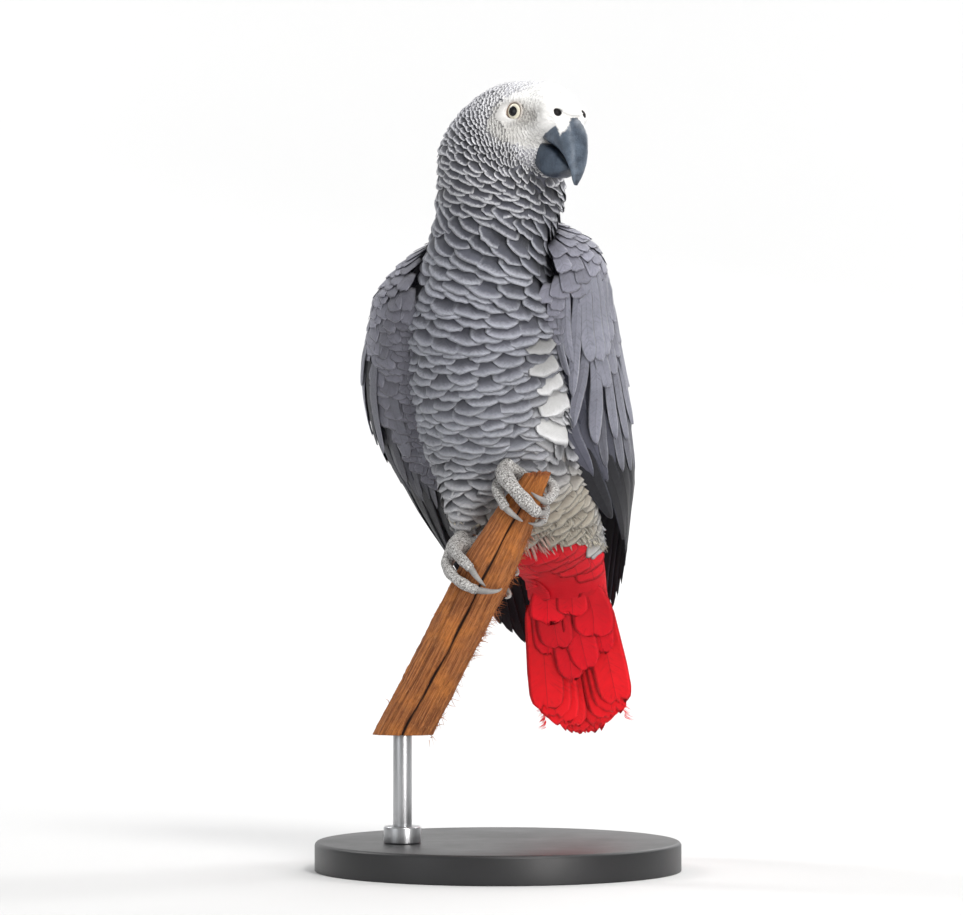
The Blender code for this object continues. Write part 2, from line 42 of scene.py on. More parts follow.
# ---- the part's own dimensions
TRUNK_CENTRE = (0.0, 0.0, 233.0)
BODY_LEAN, BODY_ROLL, BODY_YAW = 22.0, -13.0, -10.0
HEAD_CENTRE = (18.0, -42.0, 360.8)
HEAD_YAW = -48.0
SPINE = [  # frame, centre, half width, depth to the back, depth to the breast
    ("head", (23.6, 0, -0.8), 7.2, 5.4, 3.5),
    ("head", (21.8, 0, -2.0), 11.8, 10.6, 6.8),
    ("head", (15.8, 0, -4.2), 14.6, 17.2, 10.0),
    ("head", (4, 0, -6), 17.0, 21.2, 19.0),
    ("head", (-9, -2, -10), 26.8, 26.6, 21.5),
    ("head", (-18.5, -3.6, -21), 34.0, 28.8, 25.0),
    ("head", (-22.5, -2, -37), 33.0, 27.6, 27.0),
    ("body", (13.0, 8.0, 75.0), 30.0, 28.0, 31.0),
    ("body", (6.5, 5.8, 55.0), 33.5, 31.0, 38.0),
    ("body", (1.3, 2.7, 32.6), 38.0, 34.0, 43.0),
    ("body", (-2.1, -0.2, -7.7), 38.5, 34.0, 43.0),
    ("body", (-2.3, 0.7, -45.4), 36.5, 31.0, 36.0),
    ("body", (3.2, 7.5, -78.9), 32.0, 23.0, 28.0),
    ("body", (9.0, 15.5, -104.0), 23.5, 11.0, 14.0),
    ("body", (7.6, 19.0, -124.0), 21.0, 6.0, 7.5),
]
EYE_RADIUS = 5.5
EYE_PLACE = (3.0, 13.9, -0.8)
UPPER_BILL = [  # ridge and cutting edge (forward, up), half width
    ((20.5, -1.5), (7.6, -12.6), 8.8),
    ((25.2, -3.0), (13.2, -15.4), 9.1),
    ((28.8, -8.6), (18.5, -17.6), 8.6),
    ((30.6, -16.0), (22.4, -20.6), 7.5),
    ((30.6, -22.8), (25.2, -24.6), 6.0),
    ((29.6, -29.6), (26.6, -29.6), 4.0),
    ((27.6, -35.8), (26.6, -35.0), 1.3),
]
LOWER_BILL = [
    ((4.3, -12.7), (6.8, -28.4), 7.0),
    ((12.6, -15.8), (11.8, -31.2), 8.6),
    ((17.6, -18.4), (16.8, -31.8), 7.9),
    ((21.4, -22.4), (20.6, -30.4), 6.2),
    ((24.2, -26.6), (23.4, -28.6), 2.6),
]
WING_ARCS = [  # height, ellipse centre (left, back), half-axes, front and rear angles
    (72.0, 10.5, 9.0, 31.0, 32.0, -15.0, 58.0),
    (60.0, 7.5, 9.5, 50.0, 37.0, -42.0, 69.0),
    (50.0, 5.0, 10.0, 58.0, 38.5, -50.0, 74.0),
    (25.0, -0.5, 10.5, 62.5, 39.0, -54.0, 77.0),
    (0.0, -3.5, 11.0, 65.0, 38.0, -52.0, 79.0),
    (-30.0, -3.5, 13.0, 63.5, 36.0, -44.0, 81.0),
    (-60.0, -1.5, 17.0, 57.5, 33.0, -30.0, 83.0),
    (-90.0, -1.0, 21.0, 48.5, 28.0, -10.0, 84.0),
    (-120.0, -2.0, 25.0, 41.0, 22.0, 5.0, 84.0),
    (-150.0, -3.5, 29.0, 34.0, 14.0, 14.0, 84.0),
    (-185.0, -1.0, 33.0, 14.0, 6.0, 28.0, 82.0),
]
TAIL_PAIRS, TAIL_ROOT, TAIL_END = 6, (7.0, 19.4, -126.6), (0.8, 24.7, -203.0)
TAIL_WIDTH, TAIL_SPREAD, TAIL_LEVEL, TAIL_FAN = 18.0, 2.75, 0.62, 3.6
TAIL_OUTLINE = [(0, 0.75), (0.15, 0.9), (0.65, 1), (0.88, 0.97), (0.96, 0.8), (1, 0.42)]
THIGHS = {  # places down each leg, each with its radius
    "right": [(-8, 2, 204, 20), (-12, -5, 186, 18), (-15, -10, 171, 11), (-16.5, -13, 163, 5.5)],
    "left": [(20, -10, 227, 14.5), (20, -15.5, 214, 15.5), (17.5, -18.5, 202, 11), (15, -20, 192.5, 5.5)],
}
SHANKS = {
    "right": [(-17.0, -14.4, 160.2, 3.6), (-18.6, -18.5, 158.6, 3.6), (-20.6, -25.0, 155.4, 4.3)],
    "left": [(16.4, -21.0, 189.0, 3.7), (15.0, -21.4, 188.0, 3.8), (12.6, -22.0, 187.4, 4.3)],
}
TOES = {  # along the branch, degrees round it, height above it
    "left_2": [
        (15.6, -22, 8.4), (13.4, -2, 8.6), (11.0, 42, 6.6), (8.0, 84, 5.2), (5.8, 112, 4.6), (4.4, 134, 4.0),
    ],
    "left_3": [(8.6, -30, 6.4), (6.4, -2, 6.8), (2.4, 36, 4.2), (-0.2, 62, 3.5)],
    "left_1": [(17.0, -120, 4.2), (17.0, -150, 4.8), (13.6, -184, 4.6), (10.4, -212, 4.0)],
    "left_4": [(8.0, -120, 4.8), (6.4, -146, 4.3), (3.0, -168, 3.8), (0.4, -186, 3.4)],
    "right_2": [(-31.0, 8, 5.6), (-31.6, 30, 4.6), (-32.4, 50, 3.6), (-33.0, 62, 3.5)],
    "right_3": [(-38.2, -2, 6.4), (-40.0, 20, 5.0), (-41.0, 44, 3.8), (-41.0, 72, 3.6), (-40.4, 90, 3.5)],
    "right_1": [(-33.0, -52, 4.4), (-34.0, -84, 3.8), (-36.0, -112, 3.6), (-38.2, -138, 3.4)],
    "right_4": [(-25.6, -50, 4.4), (-25.0, -80, 3.8), (-25.6, -106, 3.5), (-27.0, -128, 3.4)],
}
CLAWS = {  # how far each goes round the branch, in degrees, and along it
    "left_2": (38, 1.5), "left_3": (44, -1.8), "left_1": (-40, 1.0), "left_4": (-36, -2.0),
    "right_2": (34, -4.0), "right_3": (42, 4.4), "right_1": (-34, -2.2), "right_4": (-30, -2.0),
}
TOE_RADII = {  # at the root and at the claw
    "left_2": (4.2, 3.0), "left_3": (2.8, 2.3), "left_1": (3.0, 2.4), "left_4": (2.7, 2.2),
    "right_2": (2.8, 2.3), "right_3": (2.9, 2.4), "right_1": (2.8, 2.3), "right_4": (2.7, 2.2),
}
CLAW_RADIUS = 1.45
BRANCH_LOW, BRANCH_MIDDLE, BRANCH_TOP = (-45.6, -14.5, 66.0), (9.6, -33.5, 173.1), 21.0
BRANCH_RADII = [  # place along the branch, radius
    (-125.0, 12.6), (-60.0, 12.6), (-30.0, 12.2), (-8.0, 10.0), (4.0, 8.2), (12.0, 6.4), (21.0, 5.4),
]
BARK_LOBES = 0.6
BASE_RADIUS, BASE_HEIGHT = 88.0, 14.0
ROD_RADIUS, COLLAR_RADIUS, COLLAR_HEIGHT = 4.5, 9.0, 8.0

# ---- where the coat lies, and how deep
NOSTRIL = (22.9, 8.1, -1.9)  # forward, to the side and up, in the head's own axes
EYE_CLEAR, CERE_START, COAT_END = 5.2, 18.0, 13.9  # round the eye, forward on the head, along the spine
COAT_DEPTH = [  # place along the spine, depth
    (0, 0.35), (2.0, 0.5), (3.2, 0.9), (4.2, 2.0), (5.5, 3.2), (7.5, 4.0), (11, 4.2), (12.5, 3.4), (14, 1.8),
]
BAKE_PATCH = 0.003  # the size of one vane's patch on the bake map


# ---- frames and curves
def unit(vectors):
    """Each vector divided by its length."""
    vectors = np.asarray(vectors, float)
    return vectors / np.maximum(np.linalg.norm(vectors, axis=-1, keepdims=True), 1e-12)


def dot(a, b):
    """The sum of products over the last axis, kept as an axis of one."""
    return (a * b).sum(-1, keepdims=True)


def turn(axis, degrees):
    """The matrix that turns points about the X, Y or Z axis."""
    c, s = np.cos(np.radians(degrees)), np.sin(np.radians(degrees))
    return {
        "x": np.array([[1, 0, 0], [0, c, -s], [0, s, c]]),
        "y": np.array([[c, 0, s], [0, 1, 0], [-s, 0, c]]),
        "z": np.array([[c, -s, 0], [s, c, 0], [0, 0, 1]]),
    }[axis]


BODY_AXES = turn("y", BODY_ROLL) @ turn("x", BODY_LEAN) @ turn("z", BODY_YAW)  # left, back, up
HEAD_AXES = turn("z", HEAD_YAW)  # forward, left, up


def in_body(points):
    """Places of the body's frame in the part's: the trunk's centre + x left + y back + z up."""
    return np.asarray(TRUNK_CENTRE) + np.asarray(points, float) @ BODY_AXES.T


def in_head(points):
    """Places of the head's frame in the part's: the head's centre + x forward + y left + z up."""
    return np.asarray(HEAD_CENTRE) + np.asarray(points, float) @ HEAD_AXES.T


def to_body(points):
    """The way back: a point less the trunk's centre, measured along left, back and up."""
    return (points - np.asarray(TRUNK_CENTRE)) @ BODY_AXES


def to_head(points):
    """The way back: a point less the head's centre, measured along forward, left and up."""
    return (points - np.asarray(HEAD_CENTRE)) @ HEAD_AXES


def smooth_rows(rows, at):
    """A Catmull-Rom curve through the rows, read at fractional row numbers."""
    rows = np.asarray(rows, float)
    at = np.clip(np.asarray(at, float), 0, len(rows) - 1)
    i = np.clip(np.floor(at).astype(int), 0, len(rows) - 2)
    f = (at - i).reshape(at.shape + (1,) * (rows.ndim - 1))
    padded = np.concatenate([[2 * rows[0] - rows[1]], rows, [2 * rows[-1] - rows[-2]]])
    a, b, c, d = (padded[i + k] for k in range(4))
    return 0.5 * (
        2 * b + (c - a) * f + (2 * a - 5 * b + 4 * c - d) * f**2 + (3 * b - a - 3 * c + d) * f**3
    )


def resampled(rows, count):
    """The same curve, read at a count of even steps from its first row to its last."""
    return smooth_rows(rows, np.linspace(0, len(rows) - 1, count))


def table(rows, at):
    """Straight-line reading of (place, value) rows."""
    return np.interp(at, *zip(*rows))


def table_columns(rows, at):
    """Straight-line reading of each column after the first, which holds the places."""
    places, *columns = np.array(rows, float).T
    return [np.interp(at, places, column) for column in columns]


def ease(low, high, value):
    """0 below low, 1 above high, and 3 x^2 - 2 x^3 between them."""
    x = np.clip((np.asarray(value, float) - low) / (high - low), 0, 1)
    return x * x * (3 - 2 * x)


def bell(*terms):
    """exp(-sum ((value - middle) / width)^power) over the terms, where no power given means 2."""
    return np.exp(-sum(((value - middle) / width) ** (*p, 2)[0] for value, middle, width, *p in terms))


def blend(a, b, share):
    """a (1 - share) + b share, for colours or numbers."""
    return a + (b - a) * share


def colour(red, green, blue):
    """A shown colour, 0 to 255, as linear light."""
    c = np.array([red, green, blue], float) / 255
    return np.where(c <= 0.04045, c / 12.92, ((c + 0.055) / 1.055) ** 2.4)


def ripples(points, size, seed, count=5):
    """Smooth noise of about -1 to 1: sines of the place along random ways, each swayed by another sine,
    added up and divided by 1.2 times the square root of their number."""
    random = np.random.default_rng(seed)
    total = 0.0
    for _ in range(count):
        way = unit(random.normal(size=3)) * 2 * np.pi / (size * random.uniform(0.6, 1.5))
        sway = 1.3 * np.sin(points @ way[[1, 2, 0]])
        total = total + np.sin(points @ way + random.uniform(0, 6.28) + sway)
    return total / count ** 0.5 / 1.2


def whole_turn(count):
    """Even angles round a circle, from 0."""
    return np.linspace(0, 2 * np.pi, count, endpoint=False)


def about_axis(centre, axis, across, up, far, wide, angle):
    """centre + far axis + wide cos(angle) across + wide sin(angle) up."""
    return (
        centre
        + far[..., None] * axis
        + (wide * np.cos(angle))[..., None] * across
        + (wide * np.sin(angle))[..., None] * up
    )


def turned_out(normals, outwards):
    """The directions, all of them reversed if on average they point against the given ones."""
    return normals * (1.0 if (normals * outwards).sum(-1).mean() > 0 else -1.0)


# ---- surfaces
class Surface:
    """A surface kept on an even grid and read between its points.

    point(s, t) is read straight across each cell. Past the ends it runs on along the edge's slope.
    """

    def __init__(self, points, start, end, closed, outwards):
        """Slopes are differences between neighbours, and normals are turned to the outward side."""
        self.rows, self.columns = points.shape[:2]
        self.start, self.end, self.closed = start, end, closed
        column_step = 1 / (self.columns - (not closed))
        by_s = np.gradient(points, (end - start) / (self.rows - 1), axis=0)
        if closed:
            by_t = (np.roll(points, -1, 1) - np.roll(points, 1, 1)) / (2 * column_step)
        else:
            by_t = np.gradient(points, column_step, axis=1)
        self.grids = points, by_s, by_t, turned_out(unit(np.cross(by_s, by_t)), outwards)

    def read(self, s, t):
        """Place, slope by s, slope by t and outward normal at each (s, t)."""
        inside_s = np.clip(s, self.start, self.end)
        i = (inside_s - self.start) / (self.end - self.start) * (self.rows - 1)
        i0 = np.clip(np.floor(i).astype(int), 0, self.rows - 2)
        if self.closed:
            inside_t = t
            j = np.mod(t, 1.0) * self.columns
            j0 = np.floor(j).astype(int) % self.columns
            j1 = (j0 + 1) % self.columns
            fj = (j - np.floor(j))[..., None]
        else:
            inside_t = np.clip(t, 0, 1)
            j = inside_t * (self.columns - 1)
            j0 = np.clip(np.floor(j).astype(int), 0, self.columns - 2)
            j1 = j0 + 1
            fj = (j - j0)[..., None]
        fi = (i - i0)[..., None]
        place, by_s, by_t, normal = (
            (g[i0, j0] * (1 - fj) + g[i0, j1] * fj) * (1 - fi)
            + (g[i0 + 1, j0] * (1 - fj) + g[i0 + 1, j1] * fj) * fi
            for g in self.grids
        )
        place = place + by_s * (s - inside_s)[..., None] + by_t * (t - inside_t)[..., None]
        return place, by_s, by_t, unit(normal)


def steps_for(by_s, by_t, way):
    """How far s and t go for one millimetre along a direction: the least-squares answer."""
    a, b, c = dot(by_s, by_s), dot(by_s, by_t), dot(by_t, by_t)
    p, q = dot(way, by_s), dot(way, by_t)
    det = np.maximum(a * c - b * b, 1e-9)
    return ((c * p - b * q) / det)[..., 0], ((a * q - b * p) / det)[..., 0]


def near_ones(points, count):
    """For each point, the numbers of the count points nearest to it."""
    squares = (points**2).sum(1)
    found = []
    for start in range(0, len(points), 1000):
        part = points[start : start + 1000]
        apart = squares[None] - 2 * part @ points.T + squares[start : start + 1000, None]
        found.append(np.argpartition(apart, count + 1, axis=1)[:, : count + 1])
    return np.concatenate(found)


def spread_out(surface, spacing, lie, region, seed, rounds=24):
    """Roots of feathers on a surface, as (s, t), an even distance apart by the local spacing.

    They start at random with one root to each (along x across) of area, and each is then pushed
    away from its neighbours, distances along and across being measured in spacings.
    """
    neighbours, look_again, wanted, firmness, most = 14, 6, 1.12, 0.28, 2.0
    random = np.random.default_rng(seed)
    rows, columns, span = surface.rows, surface.columns, surface.end - surface.start
    s = surface.start + span * (np.arange(rows) + 0.5) / rows
    t = (np.arange(columns) + 0.5) / columns
    s, t = (g.ravel() for g in np.meshgrid(s, t, indexing="ij"))
    place, by_s, by_t, _ = surface.read(s, t)
    along, across = spacing(place, s, t)
    cell = np.linalg.norm(np.cross(by_s, by_t), axis=-1) * span / rows / columns
    weight = np.cumsum(np.where(region(place, s, t), cell / (along * across), 0))
    count = int(weight[-1])
    pick = np.searchsorted(weight, (np.arange(count) + random.uniform(0, 1, count)) * weight[-1] / count)
    pick = np.clip(pick, 0, len(s) - 1)
    s = s[pick] + random.uniform(-0.5, 0.5, count) * span / rows
    t = t[pick] + random.uniform(-0.5, 0.5, count) / columns
    for number in range(rounds):
        place, by_s, by_t, normal = surface.read(s, t)
        if number % look_again == 0:
            near = near_ones(place, neighbours)
        way = lie(place, by_s, by_t, normal)
        side = np.cross(normal, way)
        along, across = (v[:, None] for v in spacing(place, s, t))
        apart = place[:, None] - place[near]
        x = (apart * way[:, None]).sum(-1) / along
        y = (apart * side[:, None]).sum(-1) / across
        r = np.hypot(x, y)
        push = np.where(r > 1e-6, np.clip(wanted - r, 0, None) / np.maximum(r, 1e-6), 0) * firmness
        x, y = (np.clip((push * v).sum(1, keepdims=True), -most, most) for v in (x * along, y * across))
        ds, dt = steps_for(by_s, by_t, way * x + side * y)
        s = np.clip(s + ds, surface.start, surface.end)
        t = t + dt if surface.closed else np.clip(t + dt, 0, 1)
    place = surface.read(s, t)[0]
    keep = region(place, s, t)
    return s[keep], np.mod(t[keep], 1.0) if surface.closed else t[keep]


# ---- meshes
def grid_quads(rows, columns, closed=False, looped=False):
    """Faces of a grid of points numbered row by row. Closed joins its last column to its first, and
    looped its last row to its first."""
    i, j = np.meshgrid(np.arange(rows - (not looped)), np.arange(columns - (not closed)), indexing="ij")
    below, right = (i + 1) % rows, (j + 1) % columns
    corners = (i * columns + j, below * columns + j, below * columns + right, i * columns + right)
    return np.stack(corners, -1).reshape(-1, 4)


def wound_inwards(corners, ways):
    """True where (b - a) x (c - a), for the faces' first corners a, b and c, is against the ways."""
    a, b, c = corners
    return (np.cross(b - a, c - a) * ways).sum(-1).mean() < 0


def make_piece(name, points, faces, material, uvs=(), attributes=(), stands_for=()):
    """A mesh object from points in millimetres and faces of three or four corners.

    A map has a value for each point or for each face corner, and an attribute one for each point.
    """
    mesh = bpy.data.meshes.new(name)
    faces = [np.asarray(f) for f in (faces if isinstance(faces, (list, tuple)) else [faces])]
    sizes = np.concatenate([np.full(len(f), f.shape[1]) for f in faces])
    corners = np.concatenate([f.ravel() for f in faces]).astype(np.int32)
    mesh.vertices.add(len(points))
    mesh.vertices.foreach_set("co", (np.asarray(points, float) * MM).astype(np.float32).ravel())
    mesh.loops.add(len(corners))
    mesh.loops.foreach_set("vertex_index", corners)
    mesh.polygons.add(len(sizes))
    mesh.polygons.foreach_set("loop_start", np.concatenate([[0], np.cumsum(sizes)[:-1]]).astype(np.int32))
    mesh.polygons.foreach_set("use_smooth", np.ones(len(sizes), bool))
    mesh.update(calc_edges=True)
    for title, values in dict(uvs).items():
        values = np.asarray(values, np.float32)
        values = values if len(values) == len(corners) else values[corners]
        mesh.uv_layers.new(name=title).data.foreach_set("uv", values.ravel())
    for title, values in dict(attributes).items():
        values = np.asarray(values, np.float32)
        kind, key = ("FLOAT_COLOR", "color") if values.ndim == 2 else ("FLOAT", "value")
        if values.ndim == 2:
            values = np.c_[values, np.ones(len(values), np.float32)]
        mesh.attributes.new(title, kind, "POINT").data.foreach_set(key, values.ravel())
    mesh.materials.append(material)
    mesh.validate()
    piece = bpy.data.objects.new(f"{name}_form" if name in bpy.data.objects else name, mesh)
    bpy.context.scene.collection.objects.link(piece)
    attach(piece, "root")
    if stands_for:
        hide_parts(*stands_for)
    return piece


def tube(rings):
    """Points and faces of a closed form through rings, with a fan to a pole at each end."""
    rows, columns = rings.shape[:2]
    points = np.vstack([rings.reshape(-1, 3), rings[0].mean(0), rings[-1].mean(0)])
    here, start = np.arange(columns), (rows - 1) * columns
    there = (here + 1) % columns
    pole = np.full(columns, rows * columns)
    quads = grid_quads(rows, columns, True)
    fans = np.stack([np.r_[pole, pole + 1], np.r_[here, start + there], np.r_[there, start + here]], -1)
    if wound_inwards(points[quads[:, :3].T], points[quads].mean(1) - rings.mean(1)[quads[:, 0] // columns]):
        quads, fans = quads[:, ::-1], fans[:, ::-1]
    return points, [quads, fans]


def tube_rings(path, radii, sides):
    """Circles round each point of a path, without twist: ring(a) = point + radius (cos(a) side +
    sin(a) up), where side is the last ring's side made square to the path."""
    path = np.asarray(path, float)
    along, around = unit(np.gradient(path, axis=0)), whole_turn(sides)
    side = unit(np.cross(along[0], [0.3, 0.5, 0.81]))
    rings = []
    for centre, way, radius in zip(path, along, radii):
        side = unit(side - way * (side @ way))
        up = np.cross(way, side)
        rings.append(centre + radius * (np.outer(np.cos(around), side) + np.outer(np.sin(around), up)))
    return np.array(rings)


# ---- one feather vane, many at once
def vane_faces(rows, columns):
    """Faces of one vane: its upper grid, and an under grid that shares the rim's points."""
    index = np.arange(rows * columns).reshape(rows, columns)
    under = index.copy()
    inner = (rows - 2) * (columns - 2)
    under[1:-1, 1:-1] = rows * columns + np.arange(inner).reshape(rows - 2, columns - 2)
    top = np.stack([index[:-1, :-1], index[1:, :-1], index[1:, 1:], index[:-1, 1:]], -1).reshape(-1, 4)
    low = np.stack([under[:-1, :-1], under[:-1, 1:], under[1:, 1:], under[1:, :-1]], -1).reshape(-1, 4)
    return np.concatenate([top, low]), rows * columns + inner


def vane_mesh(top, normal, thick, flip):
    """Points of closed vanes: the upper grid, and inner points sunk by their thickness."""
    count, rows, columns = top.shape[:3]
    under = top[:, 1:-1, 1:-1] - normal[:, 1:-1, 1:-1] * thick[:, 1:-1, 1:-1, None]
    faces, each = vane_faces(rows, columns)
    if flip:
        faces = faces[:, ::-1]
    points = np.concatenate([top.reshape(count, -1, 3), under.reshape(count, -1, 3)], 1)
    faces = faces[None] + np.arange(count)[:, None, None] * each
    return points.reshape(-1, 3), faces.reshape(-1, 4)


def spread_values(values, rows, columns):
    """A value for each vane, or for each point of its upper grid, given to all of its points."""
    values = np.asarray(values, float)
    if values.ndim < 3:
        return np.repeat(values, rows * columns + (rows - 2) * (columns - 2), axis=0)
    count, tail = len(values), values.shape[3:]
    inner = values[:, 1:-1, 1:-1].reshape(count, -1, *tail)
    return np.concatenate([values.reshape(count, -1, *tail), inner], 1).reshape(-1, *tail)


def root_patch(root_s, root_t, along, across, rows, columns):
    """The bake map: a patch at each root's place (t, s), spread by the vane's own across and along."""
    u = root_t[:, None, None] + BAKE_PATCH * across / 2
    v = root_s[:, None, None] + BAKE_PATCH * (along - 0.5)
    return spread_values(np.stack(np.clip([u, v], 0, 1), -1), rows, columns)


# ---- the markings
WHITE_FACE, WHITE_FACE_RIM = colour(236, 235, 233), colour(244, 244, 242)
SHADED_FACE, SHADED_FACE_RIM = colour(146, 143, 139), colour(196, 193, 188)
GREYS = [  # place along the spine: feather and rim on the breast side, feather and rim on the back
    (2.0, (190, 190, 193), (246, 246, 246), (208, 208, 211), (250, 250, 250)),
    (3.2, (148, 148, 155), (238, 238, 240), (176, 176, 182), (248, 248, 249)),
    (4.2, (109, 110, 118), (216, 216, 219), (107, 108, 117), (218, 218, 223)),
    (5.5, (85, 86, 96), (198, 199, 204), (78, 79, 90), (192, 193, 201)),
    (7.0, (89, 91, 102), (170, 172, 181), (81, 83, 94), (163, 165, 175)),
    (8.5, (104, 105, 117), (159, 161, 171), (91, 92, 104), (148, 150, 161)),
    (10.0, (118, 120, 130), (166, 168, 176), (100, 102, 112), (154, 155, 165)),
    (10.7, (135, 136, 142), (178, 178, 181), (115, 117, 126), (165, 166, 174)),
    (11.4, (156, 155, 153), (190, 189, 186), (150, 152, 158), (190, 192, 197)),
    (14.0, (154, 151, 145), (178, 175, 170), (176, 177, 182), (204, 205, 209)),
]
GREY_ROWS = [row[0] for row in GREYS]
GREY_VALUES = [np.array([colour(*row[k]) for row in GREYS]) for k in (1, 2, 3, 4)]
FLANK_WHITE, FLANK_RIM = colour(208, 208, 211), colour(232, 232, 233)
VENT_CREAM, VENT_RIM = colour(143, 133, 118), colour(158, 150, 135)
DEEP_RED, BRIGHT_RED = colour(208, 2, 26), colour(222, 10, 34)


def face_distance(head):
    """0 in the middle of the bare white face and 1 at its edge, by the head's own axes.

    The edge is an oval on each side, and open in front of the eyes, over the forehead.
    """
    forward, up = head[..., 0], head[..., 2]
    back = np.clip(8.0 - forward, 0, None) / 13.0
    height = np.where(up > -3.5, (up + 3.5) / 14.0, (up + 3.5) / (13.2 - 0.12 * (8.0 - forward)))
    height = np.where((forward > 8) & (up > -3.5), height * 0.6, height)
    return np.hypot(back, height)


def above_the_red(body):
    """Height above the slanting line where the grey and cream end and the red starts, in millimetres."""
    return body[..., 2] + 84.5 + 0.67 * body[..., 1]


def markings(points, s):
    """Feather colour and rim colour at places on the body, shared by the skin and its coat.

    Greys run down the spine and from breast to back. Over them come the flank's white, the vent's
    cream, the red past its slanting line, the bare white face, and the shade before and round the eye.
    """
    head, body = to_head(points), to_body(points)
    forward, _, up = np.moveaxis(head, -1, 0)
    left, behind, high = np.moveaxis(body, -1, 0)
    front, front_rim, back, back_rim = (
        np.stack([np.interp(s, GREY_ROWS, v[:, k]) for k in range(3)], -1) for v in GREY_VALUES
    )
    rear = ease(-16, 16, np.where(s < 6, up + 12, behind))[..., None]
    tint, rim = blend(front, back, rear), blend(front_rim, back_rim, rear)
    flank = bell((left, 33, 11), (high, -6, 18, 4), (behind, -24, 16, 4)) * (s > 8) * (s < 11.8)
    flank = 0.8 * flank[..., None]
    tint, rim = blend(tint, FLANK_WHITE, flank), blend(rim, FLANK_RIM, flank)
    vent = (ease(-26, -50, high) * ease(14, -10, behind) * ease(-22, 4, left))[..., None]
    tint, rim = blend(tint, VENT_CREAM, 0.85 * vent), blend(rim, VENT_RIM, 0.9 * vent)
    red = 1 - ease(-1.5, 1.5, above_the_red(body) + 2.5 * ripples(points, 9, 6))
    red = red[..., None] * (s > 9)[..., None]
    tint, rim = blend(tint, DEEP_RED, red), blend(rim, BRIGHT_RED, red)
    bare = 1 - ease(0.86, 1.10, face_distance(head) + 0.06 * ripples(points, 5, 3))
    bare = bare[..., None] * (s < 5)[..., None]
    tint, rim = blend(tint, WHITE_FACE, bare), blend(rim, WHITE_FACE_RIM, bare)
    lore = bell((forward, 13.0, 6.5), (up, -2.8, 4.4))
    ring = bell((np.hypot(forward - 3, up + 2), 6.2, 2.6))
    low = bell((forward, 3, 9), (up, -13, 3.5))
    shade = np.clip(0.9 * lore + 0.5 * ring + 0.6 * low + 0.12, 0, 1)[..., None] * bare
    shade = shade * ease(20.5, 15, forward)[..., None] * ease(7, 3, up)[..., None] * 0.9
    tint, rim = blend(tint, SHADED_FACE, shade), blend(rim, SHADED_FACE_RIM, shade)
    tone = 1 + 0.06 * ripples(points, 14, 5)[..., None]
    return tint * tone, rim * (1 + 0.5 * (tone - 1))


# ---- the skin
def spine_rings(at, around, grow):
    """Rings of the body's loft.

    ring(a) = centre + width cos(a) left + depth(a) sin(a) back, where depth is the back's for
    sin(a) > 0 and the breast's for sin(a) < 0, and back is square to the spine and to left.
    """
    place = {"head": in_head, "body": in_body}
    lefts = {"head": HEAD_AXES[:, 1], "body": BODY_AXES[:, 0]}
    centres = [place[kind](centre) for kind, centre, *_ in SPINE]
    sizes = smooth_rows([sizes for _, _, *sizes in SPINE], at) + np.asarray(grow).reshape(-1, 1)
    turned = np.pad([float(kind == "body") for kind, *_ in SPINE], 1, "edge")
    share = np.interp(at, np.arange(len(SPINE)), np.convolve(turned, [0.25, 0.5, 0.25], "valid"))
    along = unit(smooth_rows(centres, at + 0.6) - smooth_rows(centres, at - 0.6))
    left = lefts["head"] * (1 - share[:, None]) + lefts["body"] * share[:, None]
    left = unit(left - along * dot(left, along))
    back = np.cross(left, along)
    cos, sin = np.cos(around), np.sin(around)
    depth = np.where(sin > 0, sizes[:, 1:2], sizes[:, 2:3])
    return (
        smooth_rows(centres, at)[:, None]
        + (sizes[:, 0:1] * cos)[..., None] * left[:, None]
        + (depth * sin)[..., None] * back[:, None]
    )


def loft_normals(rings):
    """Outward directions of a closed loft, from its differences along and around."""
    around = np.roll(rings, -1, 1) - np.roll(rings, 1, 1)
    normals = unit(np.cross(np.gradient(rings, axis=0), around))
    return turned_out(normals, rings - rings.mean(1, keepdims=True))


def leg_spheres(rows, slack):
    """Centres and radii of eighteen balls down a thigh."""
    fine = resampled(rows, 18)
    return fine[:, :3], fine[:, 3] - slack


def thigh_gap(points, slack):
    """The distance from each point to the nearer thigh, below 0 inside it."""
    gap = np.full(points.shape[:-1], 1e3)
    for rows in THIGHS.values():
        for centre, radius in zip(*leg_spheres(rows, slack)):
            gap = np.minimum(gap, np.linalg.norm(points - centre, axis=-1) - radius)
    return gap


def swell_over_thighs(points, normals, slack):
    """Each point moves out along its normal to where the body and a thigh, softly joined, end.

    The joined distance is -k log(exp(-t / k) + exp(-gap / k)), for t along the normal.
    """
    soft, reach = 3.0, np.linspace(34, 0, 69)
    moved = np.zeros(points.shape[:-1])
    near = thigh_gap(points, slack) < 30
    spot, way = points[near], normals[near]
    best = np.zeros(len(spot))
    found = np.zeros(len(spot), bool)
    for t in reach:
        gap = thigh_gap(spot + way * t, slack)
        joined = -soft * np.logaddexp(-t / soft, -gap / soft)
        now = (joined < 0) & ~found
        best[now] = t
        found |= now
    moved[near] = np.clip(best - soft * 0.7, 0, None)
    return moved


def nostril_gap(head):
    """The distance to the nearer nostril's middle."""
    return np.linalg.norm(head * np.array([1, 0, 1]) + np.abs(head) * np.array([0, 1, 0]) - NOSTRIL, axis=-1)


FACE_FORMS = [  # height, place forward and up, widths: brow, hollow before the eye, cheek, fold over it
    (0.7, 5, 5.2, 6, 2.4), (-1.3, 12.5, -3.5, 4.5, 3.6), (0.9, 3, -12.5, 7, 3.5), (-0.5, 7, -8.5, 6, 2),
]


